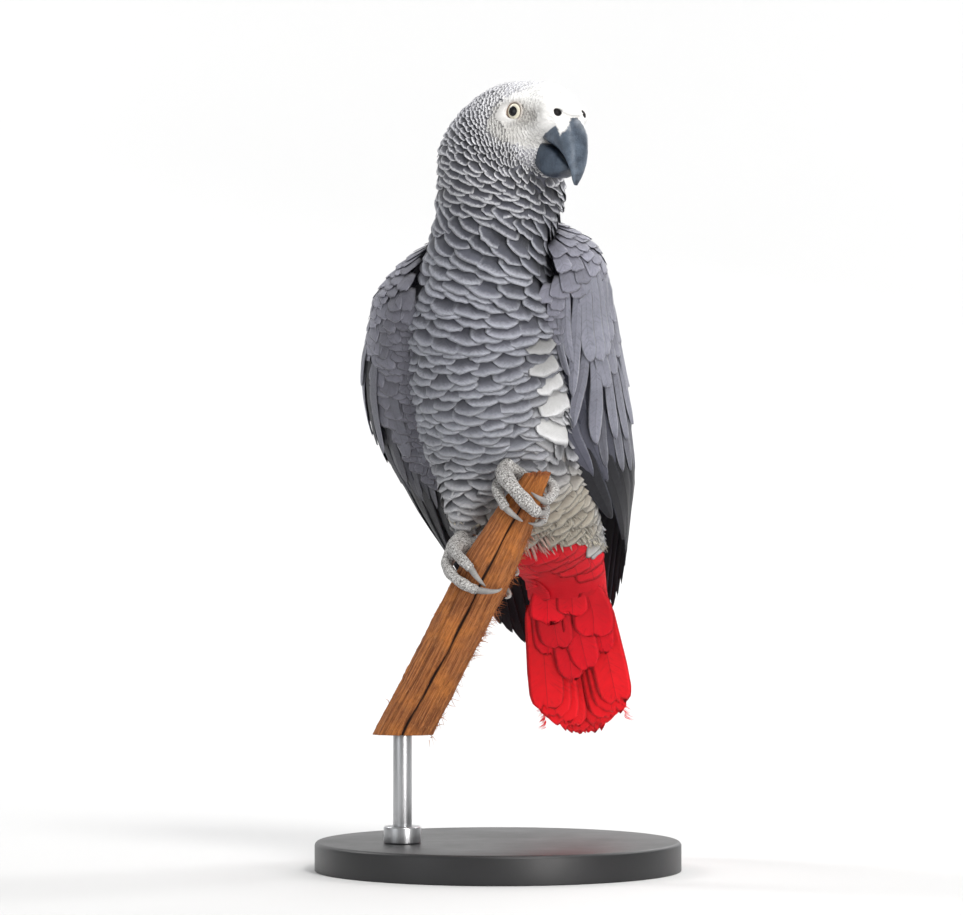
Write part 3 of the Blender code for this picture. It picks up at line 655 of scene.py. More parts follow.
def face_form(points):
    """How far the head's skin stands out: lids, the forms above, the cere, its nostrils and the chin.

    Each is a bell about a place in the head's own axes, and fine ripples wrinkle the bare face.
    """
    head = to_head(points)
    forward, side, up = head[..., 0], np.abs(head[..., 1]), head[..., 2]
    outer = ease(4, 9, side)
    eye = np.hypot(forward - EYE_PLACE[0], up - EYE_PLACE[2])
    nose = nostril_gap(head)
    form = 1.9 * bell((np.maximum(eye, 3.8), 3.8, 3.4)) * outer - 4.2 * (1 - ease(2.7, 3.8, eye)) * outer
    for height, f, u, wide, high in FACE_FORMS:
        form = form + height * bell((forward, f, wide), (up, u, high)) * outer
    form = form + 0.5 * bell((forward, 21.5, 3.5), (up, -1.5, 4.5)) + 0.2 * bell((nose, 2.9, 0.8))
    form = form - 1.6 * bell((nose, 0, 1.9, 6))
    form = form + 0.7 * bell((forward, 23.5, 3.0), (up, -3.0, 3.5)) * (1 - ease(1, 6, side))
    form = form - 3.6 * bell((forward, 14.0, 5.5), (up, -14.5, 4.0)) * (forward > 0)
    wrinkle = ripples(points * np.array([1, 1, 1.6]), 3.2, 12) * 0.12
    return form + wrinkle * (face_distance(head) < 1.1)


def skin_points(at, columns):
    """The skin: the loft made smaller by the coat's depth, with the face's forms and the thighs."""
    around = np.arange(columns) / columns * 2 * np.pi
    rings = spine_rings(at, around, -table(COAT_DEPTH, at))
    normals = loft_normals(rings)
    left, behind, high = np.moveaxis(to_body(rings), -1, 0)
    side = 3.4 * bell((left, -36, 13), (behind, -16, 17), (high, 8, 46, 4)) * ease(6.6, 7.6, at)[:, None]
    form = face_form(rings) * (at < 4.6)[:, None] + side
    trunk = at > 8.5
    form[trunk] += swell_over_thighs(rings[trunk], normals[trunk], 3.0)
    return rings + normals * form[..., None], normals


body_rings, body_ways = skin_points(np.linspace(0, 14, 421), 224)
body_surface = Surface(body_rings, 0.0, 14.0, True, body_ways)


def lie_of_body(place, by_s, by_t, normal):
    """The way feathers lie: back along the spine, and down each thigh where they are on one."""
    way = unit(by_s - normal * dot(by_s, normal))
    gap = thigh_gap(place, 0.0)
    low = np.array([-0.16, -0.3, -0.94])
    down = unit(low - normal * dot(normal, low))
    share = (1 - ease(-2.0, 5.0, gap))[..., None] * 0.8
    return unit(blend(way, down, share))


# ---- the contour feathers
FEATHERS = [  # spine place: length, along spacing, across spacing
    (1.0, 2.6, 1.5, 1.9),
    (2.5, 3.2, 1.6, 2.2),
    (3.2, 4.4, 1.8, 3.4),
    (4.0, 6.0, 2.3, 5.4),
    (5.0, 8.5, 3.1, 8.2),
    (6.0, 12.0, 4.6, 11.4),
    (7.0, 15.5, 5.6, 13.4),
    (8.0, 14.5, 5.0, 13.2),
    (9.0, 13.0, 4.4, 12.6),
    (10.5, 13.0, 4.4, 11.8),
    (11.5, 14.0, 4.6, 10.4),
    (12.4, 18.0, 6.0, 10.5),
    (13.2, 24.0, 7.5, 12.0),
    (14.0, 26.0, 8.5, 13.0),
]
THROAT_SIZE, RED_SIZE, FACE_SIZE = (8.5, 2.3, 2.7), (27.0, 10.0, 12.0), (2.7, 1.5, 1.8)


def feather_size(place, s):
    """Length, spacing along and spacing across at places on the body, smaller on the face."""
    head = to_head(place)
    far = np.maximum(ease(0.95, 2.7, face_distance(head)), ease(4.9, 6.2, s))
    throat = ease(-2, 6, head[..., 0]) * ease(-11, -16, head[..., 2]) * (1 - ease(5.8, 6.8, s))
    red = ease(2, -4, above_the_red(to_body(place))) * (s > 9)
    return tuple(
        blend(face, blend(blend(size, low, throat), rear, red), far)
        for size, low, rear, face in zip(table_columns(FEATHERS, s), THROAT_SIZE, RED_SIZE, FACE_SIZE)
    )


def body_spacing(place, s, t):
    """The two spacings alone."""
    return feather_size(place, s)[1:]


def feathered(place, s, t):
    """True where feathers grow: not on the eyes and their lids, the cere or the bill's root."""
    head = to_head(place)
    eye = np.hypot(head[..., 0] - EYE_PLACE[0], head[..., 2] - EYE_PLACE[2])
    clear = (eye > EYE_CLEAR) | (np.abs(head[..., 1]) < 8)
    return ((s > 5.5) | (clear & (head[..., 0] < CERE_START))) & (s < COAT_END)


ALONG = np.array([0.0, 0.42, 0.72, 0.9, 1.0])
ACROSS = np.array([-1, -0.86, -0.6, -0.3, 0, 0.3, 0.6, 0.86, 1])
WISP_ACROSS = np.array([-1.0, 0.0, 1.0])
BROAD = np.array([0.62, 0.92, 1.0, 1.0, 0.95])
THIN = np.array([0.7, 1.0, 0.85, 0.5, 0.12])


def contour_vanes(surface, s, t, lie, length, half, depth, seed, across=ACROSS, outline=BROAD,
                  camber=0.2, loose=0.0):
    """Vanes laid over a surface from their roots.

    point(u, v) = surface at the middle line, which marches from the root along the lie, moved back by
    drop |v|^2.6 u^3 and across by half profile(u) v, and lifted by depth (rise(u) - twist v) less a
    camber with v^2. Rise goes from under the skin at the root to the coat's depth at the tip.
    """
    random = np.random.default_rng(seed)
    count = len(s)
    place, by_s, by_t, normal = surface.read(s, t)
    way = lie(place, by_s, by_t, normal)
    swing = random.normal(0, 0.10 + 0.12 * loose, count)[:, None]
    way = way * np.cos(swing) + np.cross(normal, way) * np.sin(swing)
    u, v = ALONG[None, :, None], across[None, None, :]
    each = (count, 1, 1)
    length = length[:, None, None] * random.uniform(0.86, 1.10, each)
    half = half[:, None, None] * random.uniform(0.88, 1.12, each)
    drop = 0.24 * half * random.uniform(0.6, 1.4, each)
    ragged = random.normal(0, 0.26 + 0.5 * loose, (count, 1, len(across))) * np.minimum(length / 12, 1.0)
    x = (ragged - drop * np.abs(v) ** 2.6) * u**3
    bend = random.normal(0, 0.08 + 0.2 * loose, each)
    y = half * (outline[None, :, None] * v + bend * u**2)
    middle_s, middle_t, steps = [s], [t], []
    for row in range(len(ALONG)):
        _, by_s, by_t, normal = surface.read(middle_s[-1], middle_t[-1])
        way = unit(way - normal * dot(way, normal))
        steps.append([*steps_for(by_s, by_t, way), *steps_for(by_s, by_t, np.cross(normal, way))])
        if row + 1 < len(ALONG):
            next_s, next_t = middle_s[-1], middle_t[-1]
            for _ in range(3):
                _, by_s, by_t, normal = surface.read(next_s, next_t)
                ds, dt = steps_for(by_s, by_t, unit(way - normal * dot(way, normal)))
                go = length[:, 0, 0] * (ALONG[row + 1] - ALONG[row]) / 3
                next_s, next_t = next_s + ds * go, next_t + dt * go
            middle_s.append(next_s)
            middle_t.append(next_t)
    way_s, way_t, side_s, side_t = (np.stack(g, 1)[..., None] for g in zip(*steps))
    grid_s = np.stack(middle_s, 1)[..., None] + x * way_s + y * side_s
    grid_t = np.stack(middle_t, 1)[..., None] + x * way_t + y * side_t
    place, _, _, normal = surface.read(grid_s, grid_t)
    depth = depth[:, None, None]
    tip = random.uniform(0.84, 1.04, each) + loose * random.normal(0, 0.12, each)
    rise = -0.25 + (tip + 0.25) * u**1.25 - (0.06 + 0.2 * loose) * ease(0.8, 1.0, u)
    twist = random.normal(0, 0.07, each)
    folds = 0.05 * np.sin(v * random.uniform(4, 7, each) + random.uniform(0, 6, each))
    puff = camber * (0.4 + 0.6 * u) * v**2
    lift = depth * (rise - twist * v + folds * u) - puff * np.minimum(half, 2.0 * depth)
    top = place + normal * lift[..., None]
    thick = np.minimum((0.05 + 0.03 * length / 10) * (1 - v**2) * (1.3 - 0.7 * u) + 0.04, 0.35)
    return top, normal, thick, (s, t), (length[:, 0, 0], half[:, 0, 0]), (ALONG, across)


def feather_piece(name, parts, tints, rims, material, surface, stands_for=()):
    """One mesh of closed vanes with their tints, sizes, vane map and bake map."""
    top, normal, thick, (s, t), (length, half), (along, across) = parts
    size = top.shape[1:3]
    corners = top[:, 1, 1], top[:, 2, 1], top[:, 1, 2]
    points, faces = vane_mesh(top, normal, thick, wound_inwards(corners, normal[:, 1, 1]))
    u, v = (g[None] for g in np.meshgrid(along, across, indexing="ij"))
    root_t = np.mod(t, 1.0) if surface.closed else np.clip(t, 0, 1)
    bake = root_patch((s - surface.start) / (surface.end - surface.start), root_t, u, v, *size)
    own = np.broadcast_to(np.stack([(v + 1) / 2, u], -1), (len(s), *size, 2))
    values = {"tint": tints, "rim": rims, "long": length, "wide": half}
    return make_piece(
        name, points, faces, material, uvs={"OFBake": bake, "Vane": spread_values(own, *size)},
        attributes={title: spread_values(value, *size) for title, value in values.items()},
        stands_for=stands_for,
    )


# ---- long feathers of wing and tail
LONG_ALONG = np.concatenate([np.linspace(0, 0.8, 12), [0.86, 0.91, 0.95, 0.98, 1.0]])
LONG_ACROSS = np.array([-1, -0.78, -0.5, -0.22, -0.05, 0.05, 0.22, 0.5, 0.78, 1])
BLUNT = [  # outlines: place along, share of the half width
    (0, 0.45), (0.15, 0.8), (0.4, 0.97), (0.7, 1.0), (0.85, 0.93), (0.93, 0.76), (0.98, 0.48), (1, 0.16),
]
LANCE = [(0, 0.42), (0.15, 0.7), (0.4, 0.95), (0.6, 1.0), (0.8, 0.86), (0.9, 0.66), (0.96, 0.42), (1, 0.1)]
POINTED = [(0, 0.5), (0.2, 0.85), (0.5, 1.0), (0.7, 0.92), (0.85, 0.7), (0.95, 0.4), (0.98, 0.26), (1, 0.08)]


def long_vanes(surface, root, tip, bow, half, profile, lifts, tilt, seed, shaft=0.28, wave=0.12,
               ragged=0.4):
    """Long vanes whose middle lines run over a surface from root (s, t) to tip (s, t).

    line(u) = root + (tip - root) u + bow sin(pi u) across; point(u, v) = line + half profile(u) v
    across, lifted by lifts(u) + tilt v + a ridge at the shaft, with a slow wave along the vane.
    """
    random = np.random.default_rng(seed)
    root, tip = np.asarray(root, float), np.asarray(tip, float)
    count = len(root)
    u = LONG_ALONG[None, :]
    s = root[:, :1] + (tip - root)[:, :1] * u
    t = root[:, 1:] + (tip - root)[:, 1:] * u + np.asarray(bow, float).reshape(-1, 1) * np.sin(np.pi * u)
    place, by_s, by_t, normal = surface.read(s, t)
    way = unit(np.gradient(place, axis=1))
    side = unit(np.cross(normal, way))
    side_s, side_t = steps_for(by_s, by_t, side)
    way_s, way_t = steps_for(by_s, by_t, unit(way - normal * dot(way, normal)))
    u, v = LONG_ALONG[None, :, None], LONG_ACROSS[None, None, :]
    half = np.asarray(half, float).reshape(-1, 1, 1) + np.zeros((count, 1, 1))
    outlines = profile if isinstance(profile[0], list) else [profile] * count
    y = half * np.array([table(outline, LONG_ALONG) for outline in outlines])[..., None] * v
    x = ragged * random.normal(0, 1, (count, 1, len(LONG_ACROSS))) * u**14
    place, _, _, normal = surface.read(
        s[..., None] + y * side_s[..., None] + x * way_s[..., None],
        t[..., None] + y * side_t[..., None] + x * way_t[..., None],
    )
    each = (count, 1, 1)
    ridge = shaft * bell((v, 0, 0.09)) * (1 - 0.6 * u)
    slow = wave * np.sin(u * random.uniform(4, 9, each) + random.uniform(0, 6, each) + 1.7 * v)
    frill = 0.07 * np.sin(u * 60 + random.uniform(0, 6, each) + 2.5 * v) * v**4
    lift = np.asarray(lifts)[..., None] + np.asarray(tilt).reshape(-1, 1, 1) * v
    lift = lift + ridge + slow + frill - 0.35 * v**2
    top = place + normal * lift[..., None]
    thick = np.broadcast_to(0.16 + 0.4 * bell((v, 0, 0.12)) * (1 - 0.7 * u), lift.shape)
    length = np.linalg.norm(np.diff(place[:, :, 4], axis=1), axis=-1).sum(1)
    roots = root[:, 0], np.clip(root[:, 1], 0, 1)
    return top, normal, thick, roots, (length, half[:, 0, 0]), (LONG_ALONG, LONG_ACROSS)


# ---- materials
class Bench:
    """Adds nodes to a tree: settings are the node's own, inputs are numbers, colours or sockets."""

    def __init__(self, tree, material=None):
        """Keeps the tree, and the material that it belongs to."""
        self.tree, self.material = tree, material

    def plug(self, value, socket):
        """Links an output to an input, or sets the input to a number or a colour."""
        if isinstance(value, bpy.types.NodeSocket):
            self.tree.links.new(value, socket)
        elif isinstance(value, np.ndarray):
            socket.default_value = (*value, 1)
        else:
            socket.default_value = value

    def add(self, kind, inputs=(), **settings):
        """A new node, with its settings made before its inputs."""
        node = self.tree.nodes.new(kind)
        for title, value in settings.items():
            setattr(node, title, value)
        for title, value in dict(inputs).items():
            self.plug(value, node.inputs[title])
        return node

    def maths(self, operation, *values, clamp=False):
        """One step of arithmetic."""
        return self.add("ShaderNodeMath", enumerate(values), operation=operation, use_clamp=clamp).outputs[0]

    def line(self, value, slope, start, clamp=False):
        """slope value + start."""
        return self.maths("MULTIPLY_ADD", value, slope, start, clamp=clamp)

    def rest(self, value):
        """1 - value."""
        return self.maths("SUBTRACT", 1.0, value)

    def product(self, first, *others):
        """All the values multiplied together."""
        for value in others:
            first = self.maths("MULTIPLY", first, value)
        return first

    def ramp(self, value, low, high, to_low=0.0, to_high=1.0):
        """A soft step from to_low to to_high as the value goes from low to high."""
        inputs = {"Value": value, "From Min": low, "From Max": high, "To Min": to_low, "To Max": to_high}
        return self.add("ShaderNodeMapRange", inputs, interpolation_type="SMOOTHSTEP").outputs[0]

    def mix(self, share, a, b, blend_type="MIX"):
        """a (1 - share) + b share for colours, or another way of blending them."""
        inputs = {0: share, 6: a, 7: b}
        return self.add("ShaderNodeMix", inputs, data_type="RGBA", blend_type=blend_type).outputs[2]

    def layers(self, base, *layers):
        """A base colour with each (share, red, green, blue) laid over it in turn."""
        for share, *tint in layers:
            base = self.mix(share, base, colour(*tint))
        return base

    def toned(self, base, *tones):
        """A colour times the product of the tones."""
        tone = self.product(*tones)
        grey = self.add("ShaderNodeCombineXYZ", {0: tone, 1: tone, 2: tone}).outputs[0]
        return self.mix(1.0, base, grey, "MULTIPLY")

    def noise(self, vector, scale, detail=3.0, roughness=0.5, stretch=None):
        """Soft noise from 0 to 1, drawn out along an axis by stretch."""
        if stretch:
            vector = self.add("ShaderNodeMapping", {"Vector": vector, "Scale": stretch}).outputs[0]
        inputs = {"Vector": vector, "Scale": scale, "Detail": detail, "Roughness": roughness}
        return self.add("ShaderNodeTexNoise", inputs).outputs["Fac"]

    def place(self):
        """The place in the object's own space."""
        return self.add("ShaderNodeTexCoord").outputs["Object"]

    def attribute(self, title, output="Fac"):
        """A value or a colour that the mesh holds at its points."""
        return self.add("ShaderNodeAttribute", attribute_name=title).outputs[output]

    def group(self, made, **inputs):
        """The outputs of a node group placed here with these inputs."""
        return self.add("ShaderNodeGroup", inputs, node_tree=made).outputs

    def clouds(self, size, contrast):
        """The mottle's value, for a size in millimetres and a contrast."""
        return self.group(MOTTLE, Size=size, Contrast=contrast)["Value"]

    def give(self, out, **values):
        """Links a group's outputs by their names; returns the group."""
        for title, value in values.items():
            self.tree.links.new(value, out[title])
        return self.tree

    def finish(self, base, height=None, depth=0.0, strength=1.0, rough=None):
        """Feeds the shader its colour, its roughness and a bump, where depth is what a height of 1
        stands for, in mm; returns the material."""
        shader = self.tree.nodes["Principled BSDF"]
        self.plug(base, shader.inputs["Base Color"])
        if rough is not None:
            self.plug(rough, shader.inputs["Roughness"])
        if height is not None:
            inputs = {"Height": height, "Distance": depth * MM, "Strength": strength}
            self.plug(self.add("ShaderNodeBump", inputs).outputs[0], shader.inputs["Normal"])
        return self.material


def node_group(title, inputs, outputs):
    """A bench on an empty shader node group with named number sockets, and the group's two ends."""
    group = bpy.data.node_groups.new(title, "ShaderNodeTree")
    for name, value in inputs:
        socket = group.interface.new_socket(name, in_out="INPUT", socket_type="NodeSocketFloat")
        socket.default_value = value
    for name in outputs:
        group.interface.new_socket(name, in_out="OUTPUT", socket_type="NodeSocketFloat")
    bench = Bench(group)
    return bench, bench.add("NodeGroupInput").outputs, bench.add("NodeGroupOutput").inputs


def make_mottle_group():
    """Mottle: soft noise in the object's space, from 0 to 1, with a size in millimetres and a contrast."""
    b, given, out = node_group("Mottle", [("Size", 5.0), ("Contrast", 1.0)], ["Value"])
    value = b.noise(b.place(), b.maths("DIVIDE", 1000.0, given["Size"]), 4.0, 0.6)
    return b.give(out, Value=b.line(b.maths("SUBTRACT", value, 0.5), given["Contrast"], 0.5, clamp=True))


def make_vane_group():
    """Vane marks: the pale rim, the shaft and the barbs of a feather, from its vane map and its size.

    The rim is where min((1 - u) long, (1 - |v|) wide) is less than the rim's width; the barbs are
    waves of u long - 0.9 |v| wide; the shaft is where |v| wide is less than the shaft's half width.
    """
    sizes = [("Rim", 0.8), ("Shaft", 0.25), ("Barb", 0.7)]
    marks = ["Rim", "Shaft", "Barbs", "Along", "Streaks"]
    b, given, out = node_group("Vane marks", sizes, marks)
    split = b.add("ShaderNodeSeparateXYZ", {0: b.add("ShaderNodeUVMap", uv_map="Vane").outputs[0]})
    u, v = split.outputs[1], b.maths("ABSOLUTE", b.line(split.outputs[0], 2.0, -1.0))
    long, wide = b.attribute("long"), b.attribute("wide")
    apart = b.maths("MINIMUM", b.product(b.rest(u), long), b.product(b.rest(v), wide))
    grain = b.maths("SUBTRACT", b.noise(b.place(), 900.0, 2.0), 0.5)
    wanted = b.product(given["Rim"], b.ramp(long, 2.0, 15.0, 0.4, 1.1))
    rim = b.maths("DIVIDE", b.line(grain, given["Rim"], apart), wanted)
    rim = b.product(b.rest(b.ramp(rim, 0.15, 1.45)), b.ramp(u, 0.35, 0.8))
    across = b.product(v, wide)
    phase = b.line(across, -0.9, b.product(u, long))
    phase = b.line(b.noise(b.place(), 260.0, 2.0), 1.6, phase)
    barbs = b.maths("SINE", b.maths("DIVIDE", b.product(phase, 6.2832), given["Barb"]))
    shaft = b.rest(b.ramp(b.maths("DIVIDE", across, given["Shaft"]), 0.4, 1.2))
    height = b.add("ShaderNodeSeparateXYZ", {0: b.place()}).outputs[2]
    lay = {0: b.product(phase, 1.5), 1: b.product(across, 0.22), 2: b.product(height, 90.0)}
    lay = b.add("ShaderNodeCombineXYZ", lay).outputs[0]
    streaks = b.ramp(b.noise(lay, 1.0, 3.0, 0.6), 0.50, 0.70)
    return b.give(out, Rim=rim, Shaft=shaft, Barbs=barbs, Along=u, Streaks=streaks)


def make_cells_group():
    """Cells: rounded scales in the object's space. Edge is 0 in the grooves and 1 on the scales."""
    b, given, out = node_group("Cells", [("Size", 1.5), ("Groove", 0.12)], ["Edge", "Tone"])
    place = b.place()
    warp = b.add("ShaderNodeTexNoise", {"Vector": place, "Scale": 300.0, "Detail": 2.0}).outputs["Color"]
    moved = b.add("ShaderNodeVectorMath", {0: warp, 1: (0.5, 0.5, 0.5)}, operation="SUBTRACT").outputs[0]
    moved = b.add("ShaderNodeVectorMath", {0: moved, "Scale": 0.0009}, operation="SCALE").outputs[0]
    moved = b.add("ShaderNodeVectorMath", {0: place, 1: moved}, operation="ADD").outputs[0]
    inputs = {"Vector": moved, "Scale": b.maths("DIVIDE", 1000.0, given["Size"])}
    cells = b.add("ShaderNodeTexVoronoi", inputs, feature="DISTANCE_TO_EDGE").outputs["Distance"]
    tones = b.add("ShaderNodeTexVoronoi", inputs, feature="F1").outputs["Color"]
    edge = b.ramp(b.maths("DIVIDE", cells, given["Groove"]), 0.0, 1.0)
    return b.give(out, Edge=edge, Tone=b.add("ShaderNodeSeparateXYZ", {0: tones}).outputs[0])


MOTTLE, VANE_MARKS, CELLS = make_mottle_group(), make_vane_group(), make_cells_group()


def start_material(name, roughness, **constants):
    """A bench on a new material; constants are set on its Principled shader's own sockets."""
    material = bpy.data.materials.new(name)
    material.use_nodes = True
    shader = material.node_tree.nodes["Principled BSDF"]
    for title, value in {"Roughness": roughness, **constants}.items():
        shader.inputs[title.replace("_", " ")].default_value = value
    return Bench(material.node_tree, material)


def feather_material(name, rim, shaft, barb, shaft_dark, barb_tone, root_shade, roughness=0.62, sheen=0.12,
                     height=0.05, shade_from=0.45, mottle=0.22, streak=0.25):
    """Feathers: tint to rim colour at the edge, painted shade darkening them towards the root, where the
    feather above lies over them, with shaft, barbs and mottling.
    """
    b = start_material(name, roughness, Sheen_Weight=sheen, Sheen_Roughness=0.5, Specular_IOR_Level=0.35)
    marks = b.group(VANE_MARKS, Rim=rim, Shaft=shaft, Barb=barb)
    base = b.toned(
        b.mix(marks["Rim"], b.attribute("tint", "Color"), b.attribute("rim", "Color")),
        # painted shade: darker towards the root of each feather, under the one above it
        b.line(b.ramp(marks["Along"], shade_from, 0.97), root_shade, 1 - root_shade),
        b.line(marks["Barbs"], barb_tone, 1.0),
        b.line(marks["Shaft"], -shaft_dark, 1.0),
        b.line(marks["Streaks"], -streak, 1.0 + 0.2 * streak),
        b.line(b.clouds(2.6, 1.4), mottle, 1 - mottle / 2),
    )
    return b.finish(base, b.line(marks["Shaft"], 1.4, marks["Barbs"]), height, 0.8)


def skin_material():
    """Bare skin: the coat's tints, with painted shade in the nostrils, and fine pores and creases."""
    b = start_material("bare_skin", 0.6, Specular_IOR_Level=0.3)
    cells, cloudy = b.group(CELLS, Size=0.9, Groove=0.3), b.clouds(3.0, 1.2)
    tones = b.line(cells["Edge"], 0.05, 0.93), b.line(cloudy, 0.1, 0.95)
    base = b.toned(b.attribute("tint", "Color"), *tones)
    return b.finish(base, b.line(cloudy, 1.5, cells["Edge"]), 0.05)


def horn_material(name, dark, pale, roughness):
    """Horn: a dark ground, a powdery bloom in clouds, fine scratches, and growth lines."""
    b = start_material(name, roughness, Specular_IOR_Level=0.5, Coat_Roughness=0.35)
    cloudy, fine = b.clouds(7.0, 1.5), b.clouds(0.6, 2.0)
    scratch = b.noise(b.place(), 500.0, 3.0, 0.6, stretch=(1.0, 1.0, 0.12))
    bloom = b.maths("MULTIPLY", b.ramp(cloudy, 0.1, 0.9, 0.35, 1.0), b.line(fine, 0.5, 0.5), clamp=True)
    bloom = b.line(b.ramp(scratch, 0.6, 0.75), 0.16, bloom, clamp=True)
    rings = b.maths("SINE", b.line(cloudy, 1.5, b.product(b.attribute("grow"), 70.0)))
    # the bill's painted shade takes away bloom, so the horn is darker there
    bloom = b.line(rings, 0.03, b.maths("SUBTRACT", bloom, b.attribute("shade")), clamp=True)
    base = b.mix(bloom, colour(*dark), colour(*pale))
    base = b.layers(base, (b.attribute("cere"), 238, 236, 233))
    height = b.line(scratch, 0.6, b.line(rings, 0.2, fine))
    return b.finish(base, height, 0.04, rough=b.line(bloom, 0.25, roughness))


def eye_material():
    """An eye by its distance from the pupil's middle: pupil, straw iris with rays, dark outer ring."""
    b = start_material("eye_ball", 0.08, Coat_Weight=0.3, Coat_Roughness=0.02, Specular_IOR_Level=0.25)
    out = b.attribute("out")
    rays = {0: b.attribute("ray_x"), 1: b.attribute("ray_y"), 2: b.product(out, 0.12)}
    ray = b.noise(b.add("ShaderNodeCombineXYZ", rays).outputs[0], 9.0, 3.0, 0.6)
    iris = b.mix(b.ramp(out, 2.5, 3.4), colour(206, 202, 186), colour(240, 235, 216))
    iris = b.layers(
        iris, (b.ramp(ray, 0.35, 0.7, 0.0, 0.45), 176, 168, 142), (b.ramp(out, 3.5, 3.85), 46, 38, 32)
    )
    return b.finish(b.mix(b.ramp(out, 2.24, 2.44), colour(5, 5, 8), iris))


def scale_material():
    """Scaly legs: pale rounded scales with dark grooves and dark grains between them."""
    b = start_material("scaly_skin", 0.55, Specular_IOR_Level=0.45)
    cells = b.group(CELLS, Size=1.25, Groove=0.16)
    grains, cloudy = b.clouds(0.75, 2.6), b.clouds(4.0, 1.6)
    groove = b.maths("MAXIMUM", b.product(b.rest(cells["Edge"]), 0.6), b.attribute("crease"))
    base = b.layers(
        b.mix(cells["Tone"], colour(188, 186, 184), colour(216, 215, 213)),
        (b.ramp(cloudy, 0.5, 0.8, 0.0, 0.35), 158, 152, 147),
        (b.ramp(grains, 0.60, 0.72, 0.0, 0.9), 58, 54, 52),
        (groove, 82, 76, 72),
    )
    return b.finish(base, cells["Edge"], 0.14)


def wood_material():
    """Stripped wood: long fibres in orange browns, painted shade in the splits, pale and dry on the broken
    top.
    """
    b = start_material("bare_wood", 0.75, Specular_IOR_Level=0.3)
    uv = b.add("ShaderNodeUVMap", uv_map="Grain").outputs[0]
    fibre = b.noise(uv, 1.0, 6.0, 0.7, stretch=(2.2, 0.09, 1.0))
    thin = b.noise(uv, 1.0, 4.0, 0.65, stretch=(7.0, 0.35, 1.0))
    rough = b.noise(uv, 1.0, 5.0, 0.75, stretch=(1.6, 0.7, 1.0))
    base = b.layers(
        b.mix(b.ramp(fibre, 0.34, 0.66), colour(112, 62, 34), colour(194, 124, 72)),
        (b.ramp(b.clouds(16.0, 1.8), 0.35, 0.8, 0.0, 0.55), 212, 132, 62),
        (b.ramp(rough, 0.50, 0.66, 0.0, 0.6), 110, 60, 34),
        (b.ramp(thin, 0.58, 0.72, 0.0, 0.7), 226, 170, 116),
        (b.ramp(thin, 0.32, 0.44, 0.85, 0.0), 62, 34, 20),
        # painted shade: near black in the splits
        (b.attribute("split"), 34, 18, 12),
    )
    dry = b.mix(b.ramp(thin, 0.4, 0.6), colour(150, 78, 42), colour(192, 124, 78))
    base = b.mix(b.attribute("dry"), base, dry)
    return b.finish(base, b.maths("ADD", b.line(fibre, 1.0, thin), rough), 0.7)


def paint_material():
    """Satin black paint on board: a fine orange-peel surface with faint handling marks."""
    b = start_material("satin_black_paint", 0.42, Specular_IOR_Level=0.5)
    cloudy = b.clouds(30.0, 1.4)
    base = b.mix(cloudy, colour(26, 26, 27), colour(36, 36, 38))
    return b.finish(base, b.clouds(1.1, 1.0), 0.03, rough=b.line(cloudy, 0.14, 0.34))


def steel_material():
    """Brushed steel: fine upright lines in tone and roughness."""
    b = start_material("brushed_steel", 0.3, Metallic=1.0)
    lines = b.noise(b.place(), 2600.0, 3.0, 0.7, stretch=(1.0, 1.0, 0.02))
    base = b.mix(lines, colour(150, 151, 153), colour(196, 197, 199))
    return b.finish(base, lines, 0.01, rough=b.line(lines, 0.2, 0.22))


# name, widths of rim, shaft and barbs in mm, then how dark: the shaft, the barbs, and the painted shade
# towards the root
FACE = feather_material("face_feathers", 1.1, 0.1, 0.5, 0.05, 0.03, 0.16, height=0.02, streak=0.1)
NECK = feather_material("neck_feathers", 1.7, 0.12, 0.6, 0.1, 0.2, 0.6, shade_from=0.5, height=0.08)
BODY = feather_material("body_feathers", 2.7, 0.14, 0.62, 0.10, 0.22, 0.55, shade_from=0.5, height=0.08)
DOWN = feather_material("down", 2.4, 0.1, 0.7, 0.0, 0.07, 0.26, roughness=0.8, sheen=0.3, shade_from=0.4,
                        streak=0.12)
WING = feather_material("wing_feathers", 0.7, 0.25, 0.6, 0.12, 0.06, 0.2, roughness=0.55, mottle=0.34,
                        streak=0.3)
FLIGHT = feather_material("flight_feathers", 0.8, 0.4, 0.6, 0.3, 0.07, 0.15, roughness=0.48, sheen=0.05,
                          shade_from=0.1)
RED = feather_material("red_feathers", 0.6, 0.22, 0.8, 0.3, 0.12, 0.24, roughness=0.7, sheen=0.0,
                       shade_from=0.3, mottle=0.12, streak=0.22)
BARE_SKIN, EYE, SCALY, WOOD = skin_material(), eye_material(), scale_material(), wood_material()
PAINT, STEEL = paint_material(), steel_material()
BILL_HORN = horn_material("bill_horn", (36, 44, 56), (108, 122, 138), 0.28)
LOWER_HORN = horn_material("lower_bill_horn", (32, 41, 54), (74, 88, 104), 0.32)
CLAW_HORN = horn_material("claw_horn", (92, 90, 90), (168, 165, 162), 0.38)


